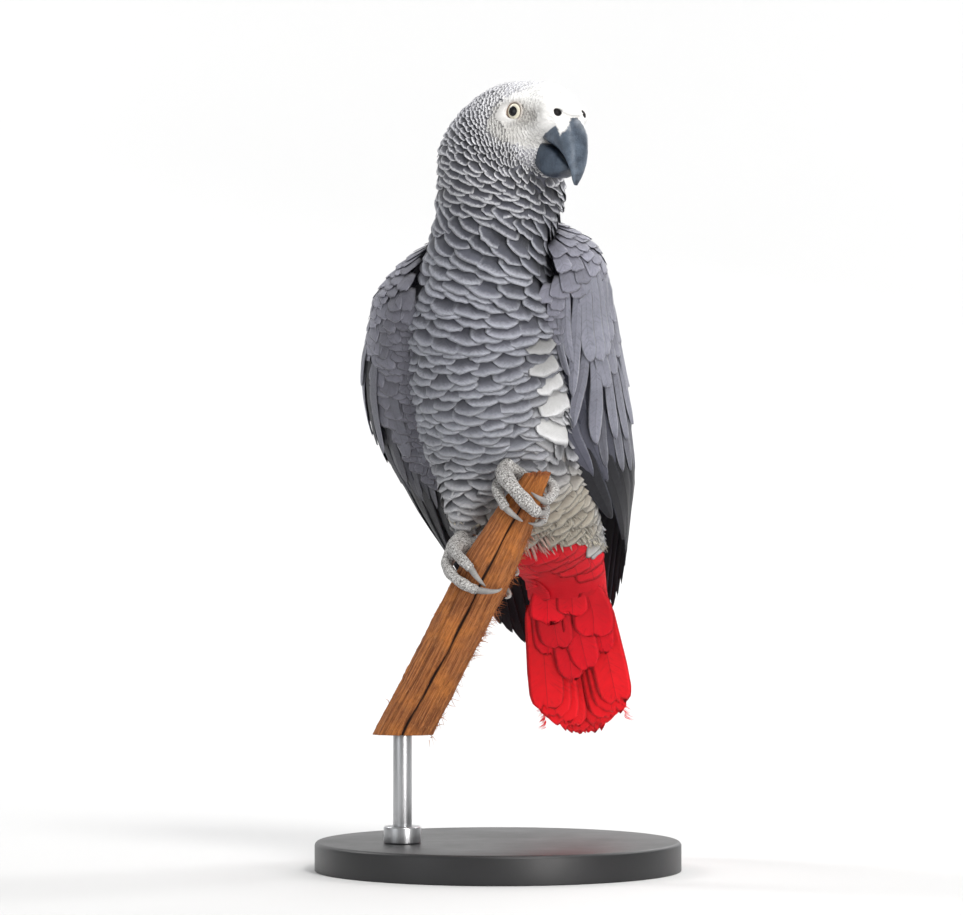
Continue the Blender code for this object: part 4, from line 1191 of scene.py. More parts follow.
# ---- the skin and the body's coat
def make_skin():
    """One closed skin from the bill's root to the tail's root, with its rows closer over the head.

    It is capped at the bill by rings middle + bulge sin(a) out + (first ring - middle) cos(a).
    """
    at = np.concatenate([np.arange(0, 4.8, 0.032), np.arange(4.8, 14.001, 0.09)])
    rings, _ = skin_points(at, 208)
    middle = rings[0].mean(0)
    out = unit(unit(middle - rings[10].mean(0)) - 0.5 * HEAD_AXES[:, 2])
    bulge, angles = 3.0, np.radians((80, 62, 44, 28, 13))
    caps = [middle + bulge * np.sin(a) * out + (rings[0] - middle) * np.cos(a) for a in angles]
    points, faces = tube(np.concatenate([caps, rings]))
    rows = np.r_[np.repeat(np.r_[np.zeros(len(caps)), at], rings.shape[1]), 0.0, at[-1]]
    # painted shade: the skin is near black inside each nostril
    nostril_shade = 1 - ease(2.0, 2.45, nostril_gap(to_head(points)))
    tint = blend(markings(points, rows)[0], colour(20, 16, 18), nostril_shade[:, None])
    return make_piece(
        "skin", points, faces, BARE_SKIN, attributes={"tint": tint},
        stands_for=("head", "neck", "trunk", "tail_coverts", "thigh_left", "thigh_right"),
    )


COAT_BANDS = [  # piece, material, slot, from and to along the spine, looseness, camber
    ("face_coat", FACE, "face_feathers", -1.0, 3.4, 0.0, 0.2),
    ("neck_coat", NECK, "body_feathers", 3.4, 7.0, 0.0, 0.2),
    ("breast_coat", BODY, "body_feathers", 7.0, 10.2, 0.06, 0.2),
    ("belly_coat", BODY, "body_feathers", 10.2, 15.0, 0.25, 0.15),
    ("vent_coat", DOWN, "body_feathers", 9.0, 15.0, 0.12, 0.1),
    ("tail_coverts_coat", RED, "red_feathers", 9.0, 15.0, 0.1, 0.04),
]


def make_body_coat():
    """The contour feathers in pieces by place along the spine, so that each stays small."""
    s, t = spread_out(body_surface, body_spacing, lie_of_body, feathered, 21)
    place = body_surface.read(s, t)[0]
    length, _, across = feather_size(place, s)
    tint, rim = markings(place, s)
    random = np.random.default_rng(8)
    tone = random.normal(1.0, 0.07, (len(s), 1))
    tint, rim = np.clip(tint * tone, 0, 1), np.clip(rim * random.normal(1.0, 0.05, (len(s), 1)), 0, 1)
    body = to_body(place)
    depth = np.maximum(table(COAT_DEPTH, s), 0.45)
    depth = np.where((face_distance(to_head(place)) < 1.0) & (s < 5), 0.3, depth)
    flank = bell((s, 9.6, 0.75, 4), (np.mod(t, 1.0), 0.9, 0.05, 4))
    depth = depth * (1 - 0.4 * flank) * (1 - 0.4 * ease(0, 14, body[:, 1]) * ease(6.5, 7.5, s))
    # painted shade: the coat under the large flank feathers is made darker
    flank_shade = 1 - 0.25 * flank[:, None]
    tint, rim = tint * flank_shade, rim * flank_shade
    vent = ((body[:, 2] < -38) & (body[:, 1] < 12) & (body[:, 0] > -16) & (s > 9)) | (s > 11.2)
    above = above_the_red(body)
    red = (above < 0) & (s > 9)
    mixed = (tint[:, :1] > 1.25 * tint[:, 1:2]) & ~red[:, None]
    tint, rim = np.where(mixed, VENT_CREAM * tone, tint), np.where(mixed, VENT_CREAM * 1.1, rim)
    tint, rim = np.where(red[:, None], DEEP_RED * tone, tint), np.where(red[:, None], BRIGHT_RED, rim)
    depth = np.where(red, 0.5 * depth, depth)
    length = np.where(~red & (s > 10), np.minimum(length, 12.0), length)
    hidden = red & (above < -9) & (body[:, 1] < 10)
    for number, (name, material, slot, low, high, loose, camber) in enumerate(COAT_BANDS):
        k = (s >= low) & (s < high) & (red == (material is RED)) & ~hidden
        k = k & ((vent & ~red) == (material is DOWN))
        parts = contour_vanes(
            body_surface, s[k], t[k], lie_of_body, length[k], 0.7 * across[k], depth[k], 40 + number,
            loose=loose, camber=camber,
        )
        feather_piece(name, parts, tint[k], rim[k], material, body_surface)


FLANK_FEATHERS = [  # root's place along the spine and round it, length, half width, tone: a tier each
    (8.95, 0.894, 12.5, 8.6, 140),
    (9.19, 0.899, 13.5, 9.0, 164),
    (9.38, 0.903, 16.0, 10.0, 190),
    (9.60, 0.903, 20.0, 11.4, 198),
    (9.90, 0.912, 20.5, 11.4, 198),
]


def make_flank_feathers():
    """Tiers of large pale feathers on the bird's left flank, over the coat, in front of the wing."""
    s, t, length, half, tone = np.array(FLANK_FEATHERS).T
    random = np.random.default_rng(50)
    tint = np.array([colour(v, v, v) for v in tone]) * random.normal(1, 0.02, (len(s), 1))
    rim = np.array([colour(v + 18, v + 18, v + 20) for v in tone])
    depth = table(COAT_DEPTH, s) * 1.45
    parts = contour_vanes(body_surface, s, t, lie_of_body, length, half, depth, 51, camber=0.12, loose=0.3)
    feather_piece("flank_feathers", parts, tint, rim, DOWN, body_surface)


def downy(place, s, t):
    """True where down lies over the coat: the vent and the lower belly."""
    body = to_body(place)
    above = above_the_red(body)
    return (above > -1) & (above < 11) & (body[..., 2] < -30) & (body[..., 1] < 16) & (s > 9.5)


def down_spacing(place, s, t):
    """Even spacings for down: 2.2 along and 1.1 across."""
    return 2.2 + 0 * s, 1.1 + 0 * s


def make_down():
    """Wisps of down, each a narrow vane, longest where they hang over the red at the vent's edge."""
    s, t = spread_out(body_surface, down_spacing, lie_of_body, downy, 60, rounds=8)
    place = body_surface.read(s, t)[0]
    body = to_body(place)
    above = above_the_red(body)
    random = np.random.default_rng(61)
    near_edge = 1 - ease(0, 14, above)
    middle = bell((body[:, 0], 2, 7)) * ease(8, 0, above)
    length = 4.5 + 5.5 * near_edge + 11 * middle * random.uniform(0.4, 1.0, len(s))
    length = length + random.uniform(-1, 1.5, len(s))
    depth = table(COAT_DEPTH, s) * random.uniform(0.9, 1.12, len(s))
    tint, rim = markings(place, s)
    tone = random.normal(1.0, 0.06, (len(s), 1))
    pale = 0.3 * random.uniform(size=(len(s), 1))
    cream, pink = colour(190, 182, 166), colour(220, 118, 116)
    red = (tint[:, :1] > 1.25 * tint[:, 1:2]) | (near_edge[:, None] > 0.9)
    tint, rim = np.where(red, cream, blend(tint, rim, 0.35 + pale)), np.where(red, cream, rim)
    tint = blend(tint, pink, middle[:, None] * random.uniform(0, 1, (len(s), 1))) * tone
    rim = blend(rim, pink, 0.6 * middle[:, None])
    parts = contour_vanes(
        body_surface, s, t, lie_of_body, length, random.uniform(0.4, 0.75, len(s)), depth, 62,
        across=WISP_ACROSS, outline=THIN, camber=0.1, loose=0.2,
    )
    feather_piece("vent_down", parts, tint, rim, DOWN, body_surface)


# ---- the wings
FRONT = 0.3  # how far a wing's map runs past its front edge, as a part of its width
WING_REACH = (-70.0, 184.0)  # depths below the body's middle between which a wing's map runs
FRONT_EDGE = {  # that depth, and how far across each wing its coverts start
    1.0: [
        (-70, 0.10), (-57, 0.06), (-37, 0.0), (-5, 0.02), (6, 0.0), (21, -0.04), (30, -0.06), (50, -0.16),
    ],
    -1.0: [
        (-70, 0.17), (-57, 0.09), (-40, 0.05), (-28, 0.03), (-11, 0.01), (12, -0.05), (28, -0.10),
        (45, -0.14),
    ],
}


def wing_points(heights, across, side, inset):
    """Points of a folded wing: (cx + side (rx - inset) cos a, cy + (ry - inset) sin a, height).

    a runs from the arc's front angle to its rear angle as across runs from 0 to 1.
    """
    arcs = np.array(WING_ARCS)[::-1]
    rows = np.interp(heights, arcs[:, 0], np.arange(len(arcs)))
    _, cx, cy, rx, ry, front, rear = np.moveaxis(smooth_rows(arcs, rows), -1, 0)
    angle = np.radians(front + (rear - front) * across)
    return in_body(
        np.stack([cx + side * (rx - inset) * np.cos(angle), cy + (ry - inset) * np.sin(angle), heights], -1)
    )


def tucked(across, heights, roll):
    """How far a wing's front edge turns in towards the breast: roll (1 - ease) over its upper part."""
    return roll * (1 - ease(-0.04, 0.11, across)) * ease(-45, -15, heights)


def wing_surface(side, inset, roll=5.0):
    """A wing's arcs as a surface read by s, the depth below the body's middle, and t, across."""
    heights, across = np.meshgrid(-np.linspace(*WING_REACH, 170), np.linspace(-FRONT, 1, 79), indexing="ij")
    points = wing_points(heights, across, side, inset + tucked(across, heights, roll))
    outwards = wing_points(heights, across, side, inset - 1.0) - points
    return Surface(points, *WING_REACH, False, outwards)


def at_across(across):
    """A place across a wing as t on its surface, which starts before the wing's front edge."""
    return (np.asarray(across, float) + FRONT) / (1 + FRONT)


def across_at(t):
    """The way back: the place across a wing for a t on its surface."""
    return t * (1 + FRONT) - FRONT


def down_the_wing(place, by_s, by_t, normal):
    """The way of the wing's feathers: the slope by s, made square to the normal."""
    return unit(by_s - normal * dot(by_s, normal))


def make_arm(side, word):
    """The wing's flesh: a closed shell under the coverts, from the bend of the wing to the flank."""
    heights, share = np.meshgrid(np.linspace(65, -34, 60), np.linspace(0.0, 1.0, 60), indexing="ij")
    across = blend(table(FRONT_EDGE[side], -heights) + 0.02, 0.99, share)
    edge = np.sqrt(np.sin(np.pi * share).clip(0))
    inset = tucked(across, heights, 5.0)
    outer = wing_points(heights, across, side, 5.0 + inset + 1.0 * (1 - edge))
    inner = wing_points(heights, across, side, 6.4 + inset + 1.0 * edge)
    rows, columns = outer.shape[:2]
    quads = grid_quads(rows, columns)
    index = np.arange(rows * columns).reshape(rows, columns)
    rim = np.concatenate([index[0], index[1:, -1], index[-1, -2::-1], index[-2:0:-1, 0]])
    walls = np.stack([rim, rim + rows * columns, np.roll(rim, -1) + rows * columns, np.roll(rim, -1)], -1)
    faces = np.concatenate([quads, quads[:, ::-1] + rows * columns, walls])
    points = np.vstack([outer.reshape(-1, 3), inner.reshape(-1, 3)])
    if wound_inwards(points[quads[:, :3].T], (outer - inner).reshape(-1, 3)[quads[:, 0]]):
        faces = faces[:, ::-1]
    tint = np.tile(colour(74, 75, 87), (len(points), 1))
    make_piece(f"wing_arm_{word}", points, faces, BARE_SKIN, attributes={"tint": tint})


COVERT_SIZES = [  # depth down the wing, length, spacing along, spacing across
    (-70, 11.0, 4.4, 5.6), (-45, 15.0, 5.6, 7.6), (-20, 19.0, 7.0, 9.4), (10, 22.0, 8.0, 10.5),
]
COVERT_LIFT = 1.35
COVERT_LIMIT = {  # how far across, and how deep the small coverts reach on each wing
    1.0: [
        (-0.1, -20), (0.02, -30), (0.05, -48), (0.10, -53), (0.34, -50), (0.42, -38), (0.6, -24), (1.0, -20),
    ],
    -1.0: [(-0.2, 40), (-0.02, 30), (0.10, 12), (0.16, -10), (0.20, -36), (0.45, -26), (1.0, -20)],
}


def covert_sizes(s, t):
    """Length and spacings of small coverts: larger down the wing, and small along its front edge."""
    small = 1 - 0.5 * ease(0.16, 0.04, across_at(t)) * ease(-60, -40, s)
    return tuple(size * small for size in table_columns(COVERT_SIZES, s))


def covert_spacing(place, s, t):
    """The two spacings alone."""
    return covert_sizes(s, t)[1:]


def make_coverts(side, word, seed):
    """Small coverts, larger down the wing, over its whole shoulder."""
    surface = wing_surface(side, 2.2)

    def grown(place, s, t):
        """True behind the wing's front edge and above the coverts' lower limit."""
        across = across_at(t)
        return (across > table(FRONT_EDGE[side], s) - 0.07) & (s < table(COVERT_LIMIT[side], across))

    s, t = spread_out(surface, covert_spacing, down_the_wing, grown, seed)
    length, _, across = covert_sizes(s, t)
    tone = np.random.default_rng(seed + 1).normal(1.0, 0.07, (len(s), 1))
    cloud = 1 + 0.10 * ripples(surface.read(s, t)[0], 16, 31)[:, None]
    shaded = 1 - (0.45 if side < 0 else 0.1) * ease(0.3, 0.1, across_at(t))[:, None]
    tint, rim = (shade * tone * cloud * shaded for shade in (colour(130, 130, 143), colour(156, 156, 169)))
    depth = np.full(len(s), COVERT_LIFT)
    parts = contour_vanes(
        surface, s, t, down_the_wing, length, 0.72 * across, depth, seed + 2, camber=0.05, loose=0.06
    )
    name = f"wing_coverts_{word}"
    feather_piece(name, parts, tint, rim, WING, surface, stands_for=(name,))


def row_of_feathers(count, root_s, root_a, tip_s, tip_a, power=1.0):
    """Roots and tips evenly along a wing's row, each a pair of values at the front and at the rear."""
    f = (np.arange(count) + 0.5) / count
    root = np.stack([blend(root_s[0], root_s[1], f), at_across(blend(root_a[0], root_a[1], f))], -1)
    tip = np.stack([blend(tip_s[0], tip_s[1], f**power), at_across(blend(tip_a[0], tip_a[1], f))], -1)
    return root, tip, f


def feather_row(name, surface, row, half, profile, lift_root, lift_tip, tints, rims, material, seed,
                jitter=1.0, stands_for=()):
    """One row of long feathers on a wing, each a little unlike the next."""
    root, tip, f = row
    random = np.random.default_rng(seed)
    count = len(root)
    shift = [random.normal(0, spread * jitter, count) for spread in (2.2, 0.006)]
    tip = tip + np.stack(shift, -1)
    u = LONG_ALONG[None]
    lifts = blend(lift_root, lift_tip, ease(0.0, 0.55, u)) + 0 * root[:, :1]
    lifts = lifts + random.normal(0, 0.14 * jitter, (count, 1)) * u
    half = half * random.uniform(0.9, 1.08, count)
    bow, tilt = random.normal(0, 0.006, count), np.full(count, 0.45)
    parts = long_vanes(surface, root, tip, bow, half, profile, lifts, tilt, seed + 1)
    tone = random.normal(1.0, 0.07, (count, 1))
    tint, rim = (blend(front, rear, f[:, None]) * tone for front, rear in (tints, rims))
    return feather_piece(name, parts, tint, rim, material, surface, stands_for)


# the tone is partly the feathers' own and partly painted shade, which makes the right wing's darkest
FRONT_FEATHERS = {  # root (depth, across), tip (depth, across), bow, half width, outline, lift, tone
    1.0: [
        (-46, 0.012, -4, 0.024, 0.0, 1.8, BLUNT, -2.0, 0.95),
        (-55, 0.042, -11, 0.050, 0.0, 2.7, BLUNT, -1.7, 1.06),
        (-55, 0.100, 7, 0.010, 0.026, 3.1, LANCE, -1.3, 1.10),
        (-57, 0.150, -9, 0.130, 0.0, 4.4, BLUNT, -0.9, 1.10),
        (-57, 0.205, -7, 0.176, 0.0, 4.6, BLUNT, -0.7, 1.13),
        (-56, 0.262, -8, 0.224, 0.0, 4.6, BLUNT, -0.8, 1.12),
        (-53, 0.325, -13, 0.280, 0.0, 4.6, BLUNT, -1.0, 1.05),
        (-44, 0.385, -20, 0.350, 0.0, 3.6, BLUNT, -0.6, 1.0),
        (-30, 0.205, 8, 0.168, 0.0, 4.0, BLUNT, -1.9, 1.06),
        (-28, 0.275, 4, 0.245, 0.0, 3.6, BLUNT, -2.0, 1.0),
        (-24, 0.350, -2, 0.330, 0.0, 3.6, BLUNT, -1.6, 0.96),
        (-22, 0.150, 23, -0.040, 0.004, 3.1, LANCE, -2.3, 1.04),
        (-12, 0.165, 35, -0.004, 0.012, 3.9, LANCE, -2.1, 1.12),
        (-14, 0.235, 37, 0.100, 0.010, 3.0, LANCE, -2.5, 1.04),
        (-12, 0.290, 41, 0.185, 0.006, 3.0, LANCE, -2.6, 0.98),
        (-8, 0.345, 36, 0.300, 0.0, 3.2, LANCE, -2.2, 1.05),
        (6, 0.130, 50, -0.030, 0.010, 2.7, LANCE, -3.2, 0.72),
        (8, 0.200, 57, 0.060, 0.010, 2.9, LANCE, -3.3, 0.80),
        (10, 0.270, 60, 0.150, 0.006, 3.0, LANCE, -3.3, 0.74),
        (10, 0.340, 62, 0.240, 0.004, 3.2, LANCE, -3.2, 0.70),
    ],
    -1.0: [
        (-36, 0.330, 19, 0.332, 0.0, 2.9, LANCE, -2.2, 1.02),
        (-37, 0.205, 25, 0.178, 0.016, 5.0, BLUNT, -1.2, 0.78),
        (-40, 0.265, 22, 0.245, 0.006, 3.0, BLUNT, -1.6, 0.34),
        (-20, 0.090, 26, 0.030, 0.006, 4.0, BLUNT, -2.0, 0.74),
        (-16, 0.040, 30, -0.040, 0.004, 3.8, BLUNT, -1.8, 0.80),
        (-10, 0.000, 38, -0.130, 0.006, 3.4, BLUNT, -1.6, 0.86),
        (-4, 0.130, 44, 0.080, 0.010, 4.2, LANCE, -3.8, 0.52),
        (4, 0.060, 54, -0.010, 0.010, 3.8, LANCE, -4.2, 0.5),
        (8, -0.010, 58, -0.110, 0.008, 3.4, LANCE, -4.2, 0.5),
        (-6, 0.250, 48, 0.230, 0.008, 4.0, LANCE, -4.4, 0.55),
    ],
}


def make_front_feathers(side, word, surface, seed):
    """The feathers seen along a wing's front, each with its own place and width, and a tone that is partly
    painted shade.
    """
    rows = FRONT_FEATHERS[side]
    values = np.array([[*row[:6], *row[7:]] for row in rows])
    root = np.stack([values[:, 0], at_across(values[:, 1])], -1)
    tip = np.stack([values[:, 2], at_across(values[:, 3])], -1)
    u = LONG_ALONG[None]
    random = np.random.default_rng(seed)
    lift = values[:, 6:7] + np.where(values[:, 6:7] < -1.8, 1.0, 0.3)
    lifts = lift - 1.5 * (1 - ease(0, 0.4, u)) + 0.5 * ease(0.6, 1.0, u)
    parts = long_vanes(
        surface, root, tip, values[:, 4] / (1 + FRONT), values[:, 5], [row[6] for row in rows], lifts,
        random.normal(0.35, 0.2, len(rows)), seed + 1,
    )
    # partly painted shade, darkest on the right wing
    tone = values[:, 7:8]
    tint, rim = colour(126, 127, 139) * tone**1.6, colour(164, 165, 176) * tone
    feather_piece(f"wing_front_{word}", parts, tint, rim, WING, surface)


def make_wing(side, word, seed):
    """Rows of a folded wing from the top layer down: coverts, greater coverts, secondaries, primaries."""
    surface = wing_surface(side, 0.0)
    make_arm(side, word)
    make_coverts(side, word, seed)
    make_front_feathers(side, word, surface, seed + 5)
    grey, grey_rear, pale = colour(128, 129, 141), colour(112, 113, 125), colour(160, 161, 172)
    black, soot = colour(16, 16, 24), colour(56, 58, 72)
    # painted shade: the right wing's greys here are darker than the left's
    if side > 0:
        dark, slate, edge = colour(82, 83, 96), colour(136, 137, 149), 0.38
    else:
        dark, slate, edge = colour(54, 55, 66), colour(88, 89, 102), 0.34
    secondaries, primaries = f"wing_secondaries_{word}", f"wing_primaries_{word}"
    row = row_of_feathers(11, (-38, -34), (edge, 0.97), (-8, -4), (edge, 0.98))
    feather_row(
        f"median_coverts_{word}", surface, row, 5.8, BLUNT, -2.2, -0.5, (grey, grey), (pale, pale), WING,
        seed + 10, 1.4,
    )
    row = row_of_feathers(9, (-28, -24), (edge, 0.96), (12, 36), (edge - 0.02, 0.98))
    feather_row(
        f"greater_coverts_{word}", surface, row, 6.6, BLUNT, -3.0, -0.9, (grey, grey_rear), (pale, pale),
        WING, seed + 20, 1.6,
    )
    row = row_of_feathers(15, (-22, -6), (0.06, 0.95), (22, 66), (-0.05, 0.98))
    feather_row(
        secondaries, surface, row, 5.8, BLUNT, -5.6, np.array([[-3.9]] * 5 + [[-2.4]] * 10),
        (colour(56, 57, 70), dark), (colour(96, 97, 110), slate), FLIGHT, seed + 30, 1.2, (secondaries,),
    )
    row = row_of_feathers(10, (-6, 4), (-0.02, 0.6), (48, 84), (-0.17, 0.55))
    feather_row(
        f"primary_coverts_{word}", surface, row, 4.8, POINTED, -5.8, -3.2, (dark, black), (slate, soot),
        FLIGHT, seed + 40, 1.5,
    )
    row = row_of_feathers(13, (8, 20), (-0.06, 0.92), (66, 180), (-0.24, 0.97), power=0.6)
    tips = np.interp(row[2], [0, 0.35, 1], [-3.4, -1.6, -0.9])[:, None]
    feather_row(
        primaries, surface, row, 5.6, POINTED, -6.0, tips, (black, black), (soot, soot), FLIGHT, seed + 50,
        0.6, (primaries,),
    )


# ---- the tail
def tail_frame():
    """The tail's root, its way to the tip, its left, its back and its length, in the body's frame."""
    root, end = np.array(TAIL_ROOT), np.array(TAIL_END)
    middle = unit(end - root)
    left = unit(np.array([1.0, 0, 0]) - middle * middle[0])
    back = np.cross(left, -middle)
    return root, middle, left, back if back[1] > 0 else -back, np.linalg.norm(end - root)


TAIL_SPAN = 80.0
UNDER_COVERTS = [  # root aside, tip along the tail, tip aside, half width: the lowest layer first
    (-12, 0.34, -13, 7.5), (13, 0.36, 14, 7.5), (-1, 0.55, -3, 7.5), (4, 0.47, 5.5, 8.0),
    (-6, 0.30, -7.5, 9.0), (9, 0.24, 10.5, 10.5), (-9, 0.10, -11, 9.0), (3, 0.06, 2, 8.0),
]
OVER_COVERTS = [
    (0, 0.42, 0, 7.0), (-8, 0.36, -8, 7.0), (8, 0.36, 8, 7.0), (-13, 0.28, -14, 6.5), (13, 0.28, 14, 6.5),
    (-4, 0.28, -4, 7.5), (4, 0.27, 4, 7.5), (-10, 0.18, -10, 7.5), (10, 0.18, 10, 7.5), (0, 0.14, 0, 8.0),
]


def tail_surface():
    """A flat sheet: point(s, t) = root + way length s + left span (t - 1/2)."""
    root, middle, left, back, length = tail_frame()
    s, t = np.meshgrid(np.linspace(-0.25, 1.0, 26), np.linspace(0, 1, 21), indexing="ij")
    points = in_body(root + s[..., None] * length * middle + (t[..., None] - 0.5) * TAIL_SPAN * left)
    return Surface(points, -0.25, 1.0, False, points * 0 + back @ BODY_AXES.T)


def make_tail():
    """Twelve tail feathers in layers, fanned a little, with their coverts above and below."""
    surface = tail_surface()
    length = tail_frame()[-1]
    pair = np.repeat(np.arange(TAIL_PAIRS), 2)
    side = np.tile([1.0, -1.0], TAIL_PAIRS)
    fan = np.radians(TAIL_FAN) * side * (pair + 0.4) / (TAIL_PAIRS - 0.6)
    reach = length * (1 - 0.02 * pair - 0.006 * pair**2)
    level = 2.6 - (2 * pair + (side < 0)) * TAIL_LEVEL
    root = np.stack([0 * pair - 0.02, 0.5 + side * TAIL_SPREAD * pair / TAIL_SPAN], -1)
    tip = np.stack([reach * np.cos(fan) / length, root[:, 1] + reach * np.sin(fan) / TAIL_SPAN], -1)
    u = LONG_ALONG[None]
    lifts = level[:, None] + 0.3 * np.sin(np.pi * u)
    parts = long_vanes(
        surface, root, tip, 0 * fan, np.full(12, TAIL_WIDTH / 2), TAIL_OUTLINE, lifts, 0.15 * side, 71,
        shaft=0.2, wave=0.1, ragged=1.3,
    )
    tone = np.random.default_rng(72).normal(1.0, 0.05, (12, 1))
    names = tuple(f"tail_feather_{w}_{k + 1}" for k in range(TAIL_PAIRS) for w in ("left", "right"))
    tint, rim = colour(255, 16, 32) * tone, colour(255, 34, 44) * tone
    feather_piece("tail_feathers", parts, tint, rim, RED, surface, stands_for=names)
    layers = (
        ("under_tail_coverts", -1.0, 4.9, UNDER_COVERTS, 80),
        ("upper_tail_coverts", 1.0, 3.4, OVER_COVERTS, 90),
    )
    for name, sign, first, rows, seed in layers:
        root_at, tip_at, tip_aside, half = np.array(rows).T
        count = len(rows)
        random = np.random.default_rng(seed)
        root = np.stack([0 * root_at - 0.14, 0.5 + root_at / TAIL_SPAN], -1)
        tip = np.stack([tip_at, 0.5 + tip_aside / TAIL_SPAN], -1)
        lifts = sign * (first + 0.22 * np.arange(count)[:, None] - 1.6 * (1 - ease(0, 0.4, u)))
        bow, tilt = random.normal(0, 0.01, count), random.normal(0, 0.12, count)
        parts = long_vanes(
            surface, root, tip, bow, half, BLUNT, lifts, tilt, seed + 1, shaft=0.1, ragged=1.1
        )
        tone = random.normal(1.0, 0.08, (count, 1))
        tint, rim = colour(232, 4, 30) * tone, colour(238, 8, 34) * tone
        feather_piece(name, parts, tint, rim, RED, surface)


def make_tail_barbs():
    """Loose barbs splayed from the tail's edges near its tip, more on the bird's right."""
    root, middle, left, back, length = tail_frame()
    random = np.random.default_rng(95)
    count = 130
    side = np.where(random.uniform(size=count) < 0.65, -1.0, 1.0)
    share = random.uniform(0.5, 0.9, count)
    wide = TAIL_WIDTH / 2 + 10.0 + 4.5 * share
    base = root + share[:, None] * length * middle + (side * (wide - 3.0))[:, None] * left
    base = in_body(base + random.uniform(-4, 2, (count, 1)) * back)
    out, down = side[:, None] * (left @ BODY_AXES.T), middle @ BODY_AXES.T
    way = unit(down * random.uniform(0.6, 1.3, (count, 1)) + out * random.uniform(0.3, 1.0, (count, 1)))
    curl = unit(out + random.normal(0, 0.3, (count, 3)))
    sizes = random.uniform(2.0, 4.5, count), random.uniform(0.12, 0.3, count)
    points, faces = bristles(base, way, curl, *sizes, 0.9)
    tint = np.tile(colour(240, 10, 30), (len(points), 1))
    make_piece("tail_barbs", points, faces, BARE_SKIN, attributes={"tint": tint})


# ---- the bill
BILL_ROWS, BILL_SIDES = 96, 80


def bill_form(sections, upper):
    """A half of the bill: egg sections from ridge to cutting edge, square to the head's left.

    point(a) = middle + half cos(a) + width sin(a)^power left, with fine growth ripples. The power is
    0.84 towards the ridge and 0.5 towards the edge on the upper half, 0.2 and 0.42 on the lower one.
    """
    fine = resampled([(*ridge, *edge, width) for ridge, edge, width in sections], BILL_ROWS)
    sin, cos = np.sin(whole_turn(BILL_SIDES)), np.cos(whole_turn(BILL_SIDES))
    power = np.where(cos > 0, 0.84, 0.5) if upper else np.where(cos > 0, 0.2, 0.42)
    across = np.sign(sin) * np.abs(sin) ** power
    ridge, edge = (np.stack([fine[:, k], 0 * fine[:, k], fine[:, k + 1]], -1) for k in (0, 2))
    middle, half = (ridge + edge) / 2, (ridge - edge) / 2
    rings = middle[:, None] + cos[:, None] * half[:, None]
    rings = rings + (fine[:, 4:5] * across)[..., None] * np.array([0, 1.0, 0])
    place = in_head(rings)
    swell = 0.10 * ripples(place, 6, 44) + 0.04 * ripples(place, 1.6, 45)
    return place + loft_normals(place) * (swell - 0.05)[..., None]


CERE_EDGE = [  # where the black horn begins (forward, up), on each side of the bill
    (7.0, -14.4), (11.0, -12.9), (16.5, -10.8), (19.6, -9.0), (22.4, -8.0), (23.8, -9.4), (25.2, -12.4),
    (26.4, -13.4), (28.0, -12.4), (40.0, -12.0),
]


def cere_share(points):
    """1 where the bill's root is white skin and 0 where it is horn, softened over half a millimetre.

    Horn lies below the edge on each side, and runs up the ridge to a point: |side| < 8.6 w^0.95,
    where w goes from 0 to 1 as the height goes from -1.6 to -12.6.
    """
    head = to_head(points)
    waver = 0.3 * ripples(points, 2.2, 46)
    edge = table(CERE_EDGE, head[..., 0])
    below = ease(-0.5, 0.5, edge - head[..., 2] + waver)
    wedge = 8.6 * np.clip((-1.6 - head[..., 2]) / 11.0, 0, 1) ** 0.95
    ridge = ease(-0.45, 0.45, wedge - np.abs(head[..., 1]) + waver) * ease(19.5, 21.0, head[..., 0])
    return 1 - np.maximum(below, ridge)


def make_bill():
    """Both halves: painted shade darkens them below, on the ridge and towards the root, where the upper one
    is cere.
    """
    halves = ("upper_bill", UPPER_BILL, BILL_HORN), ("lower_bill", LOWER_BILL, LOWER_HORN)
    for name, sections, horn in halves:
        upper = horn is BILL_HORN
        points, faces = tube(bill_form(sections, upper))
        turned = np.r_[np.tile(np.cos(whole_turn(BILL_SIDES)), BILL_ROWS), 0, 0]
        grow = np.r_[np.repeat(np.linspace(0, 1, BILL_ROWS), BILL_SIDES), 0, 1]
        # painted shade: darker towards the cutting edge, on the ridge and near the root
        shade = 0.45 * ease(-0.55, -0.95, turned) + 0.25 * ease(0.7, 1.0, turned)
        shade = shade + 0.35 * ease(0.28, 0.0, grow)
        cere = cere_share(points) if upper else np.zeros(len(points))
        values = {"cere": cere, "grow": grow, "shade": shade}
        make_piece(name, points, faces, horn, attributes=values, stands_for=(name,))


# ---- the eyes
EYE_TURN = 12.0  # degrees that each eye looks forward of straight sideways


def eye_frame(side):
    """An eye's middle, its way out, and two directions square to it, in the head's frame."""
    out = unit([np.sin(np.radians(EYE_TURN)), side * np.cos(np.radians(EYE_TURN)), 0.02])
    up = unit(np.array([0, 0, 1.0]) - out * out[2])
    return np.array([EYE_PLACE[0], side * EYE_PLACE[1], EYE_PLACE[2]]), out, np.cross(up, out), up


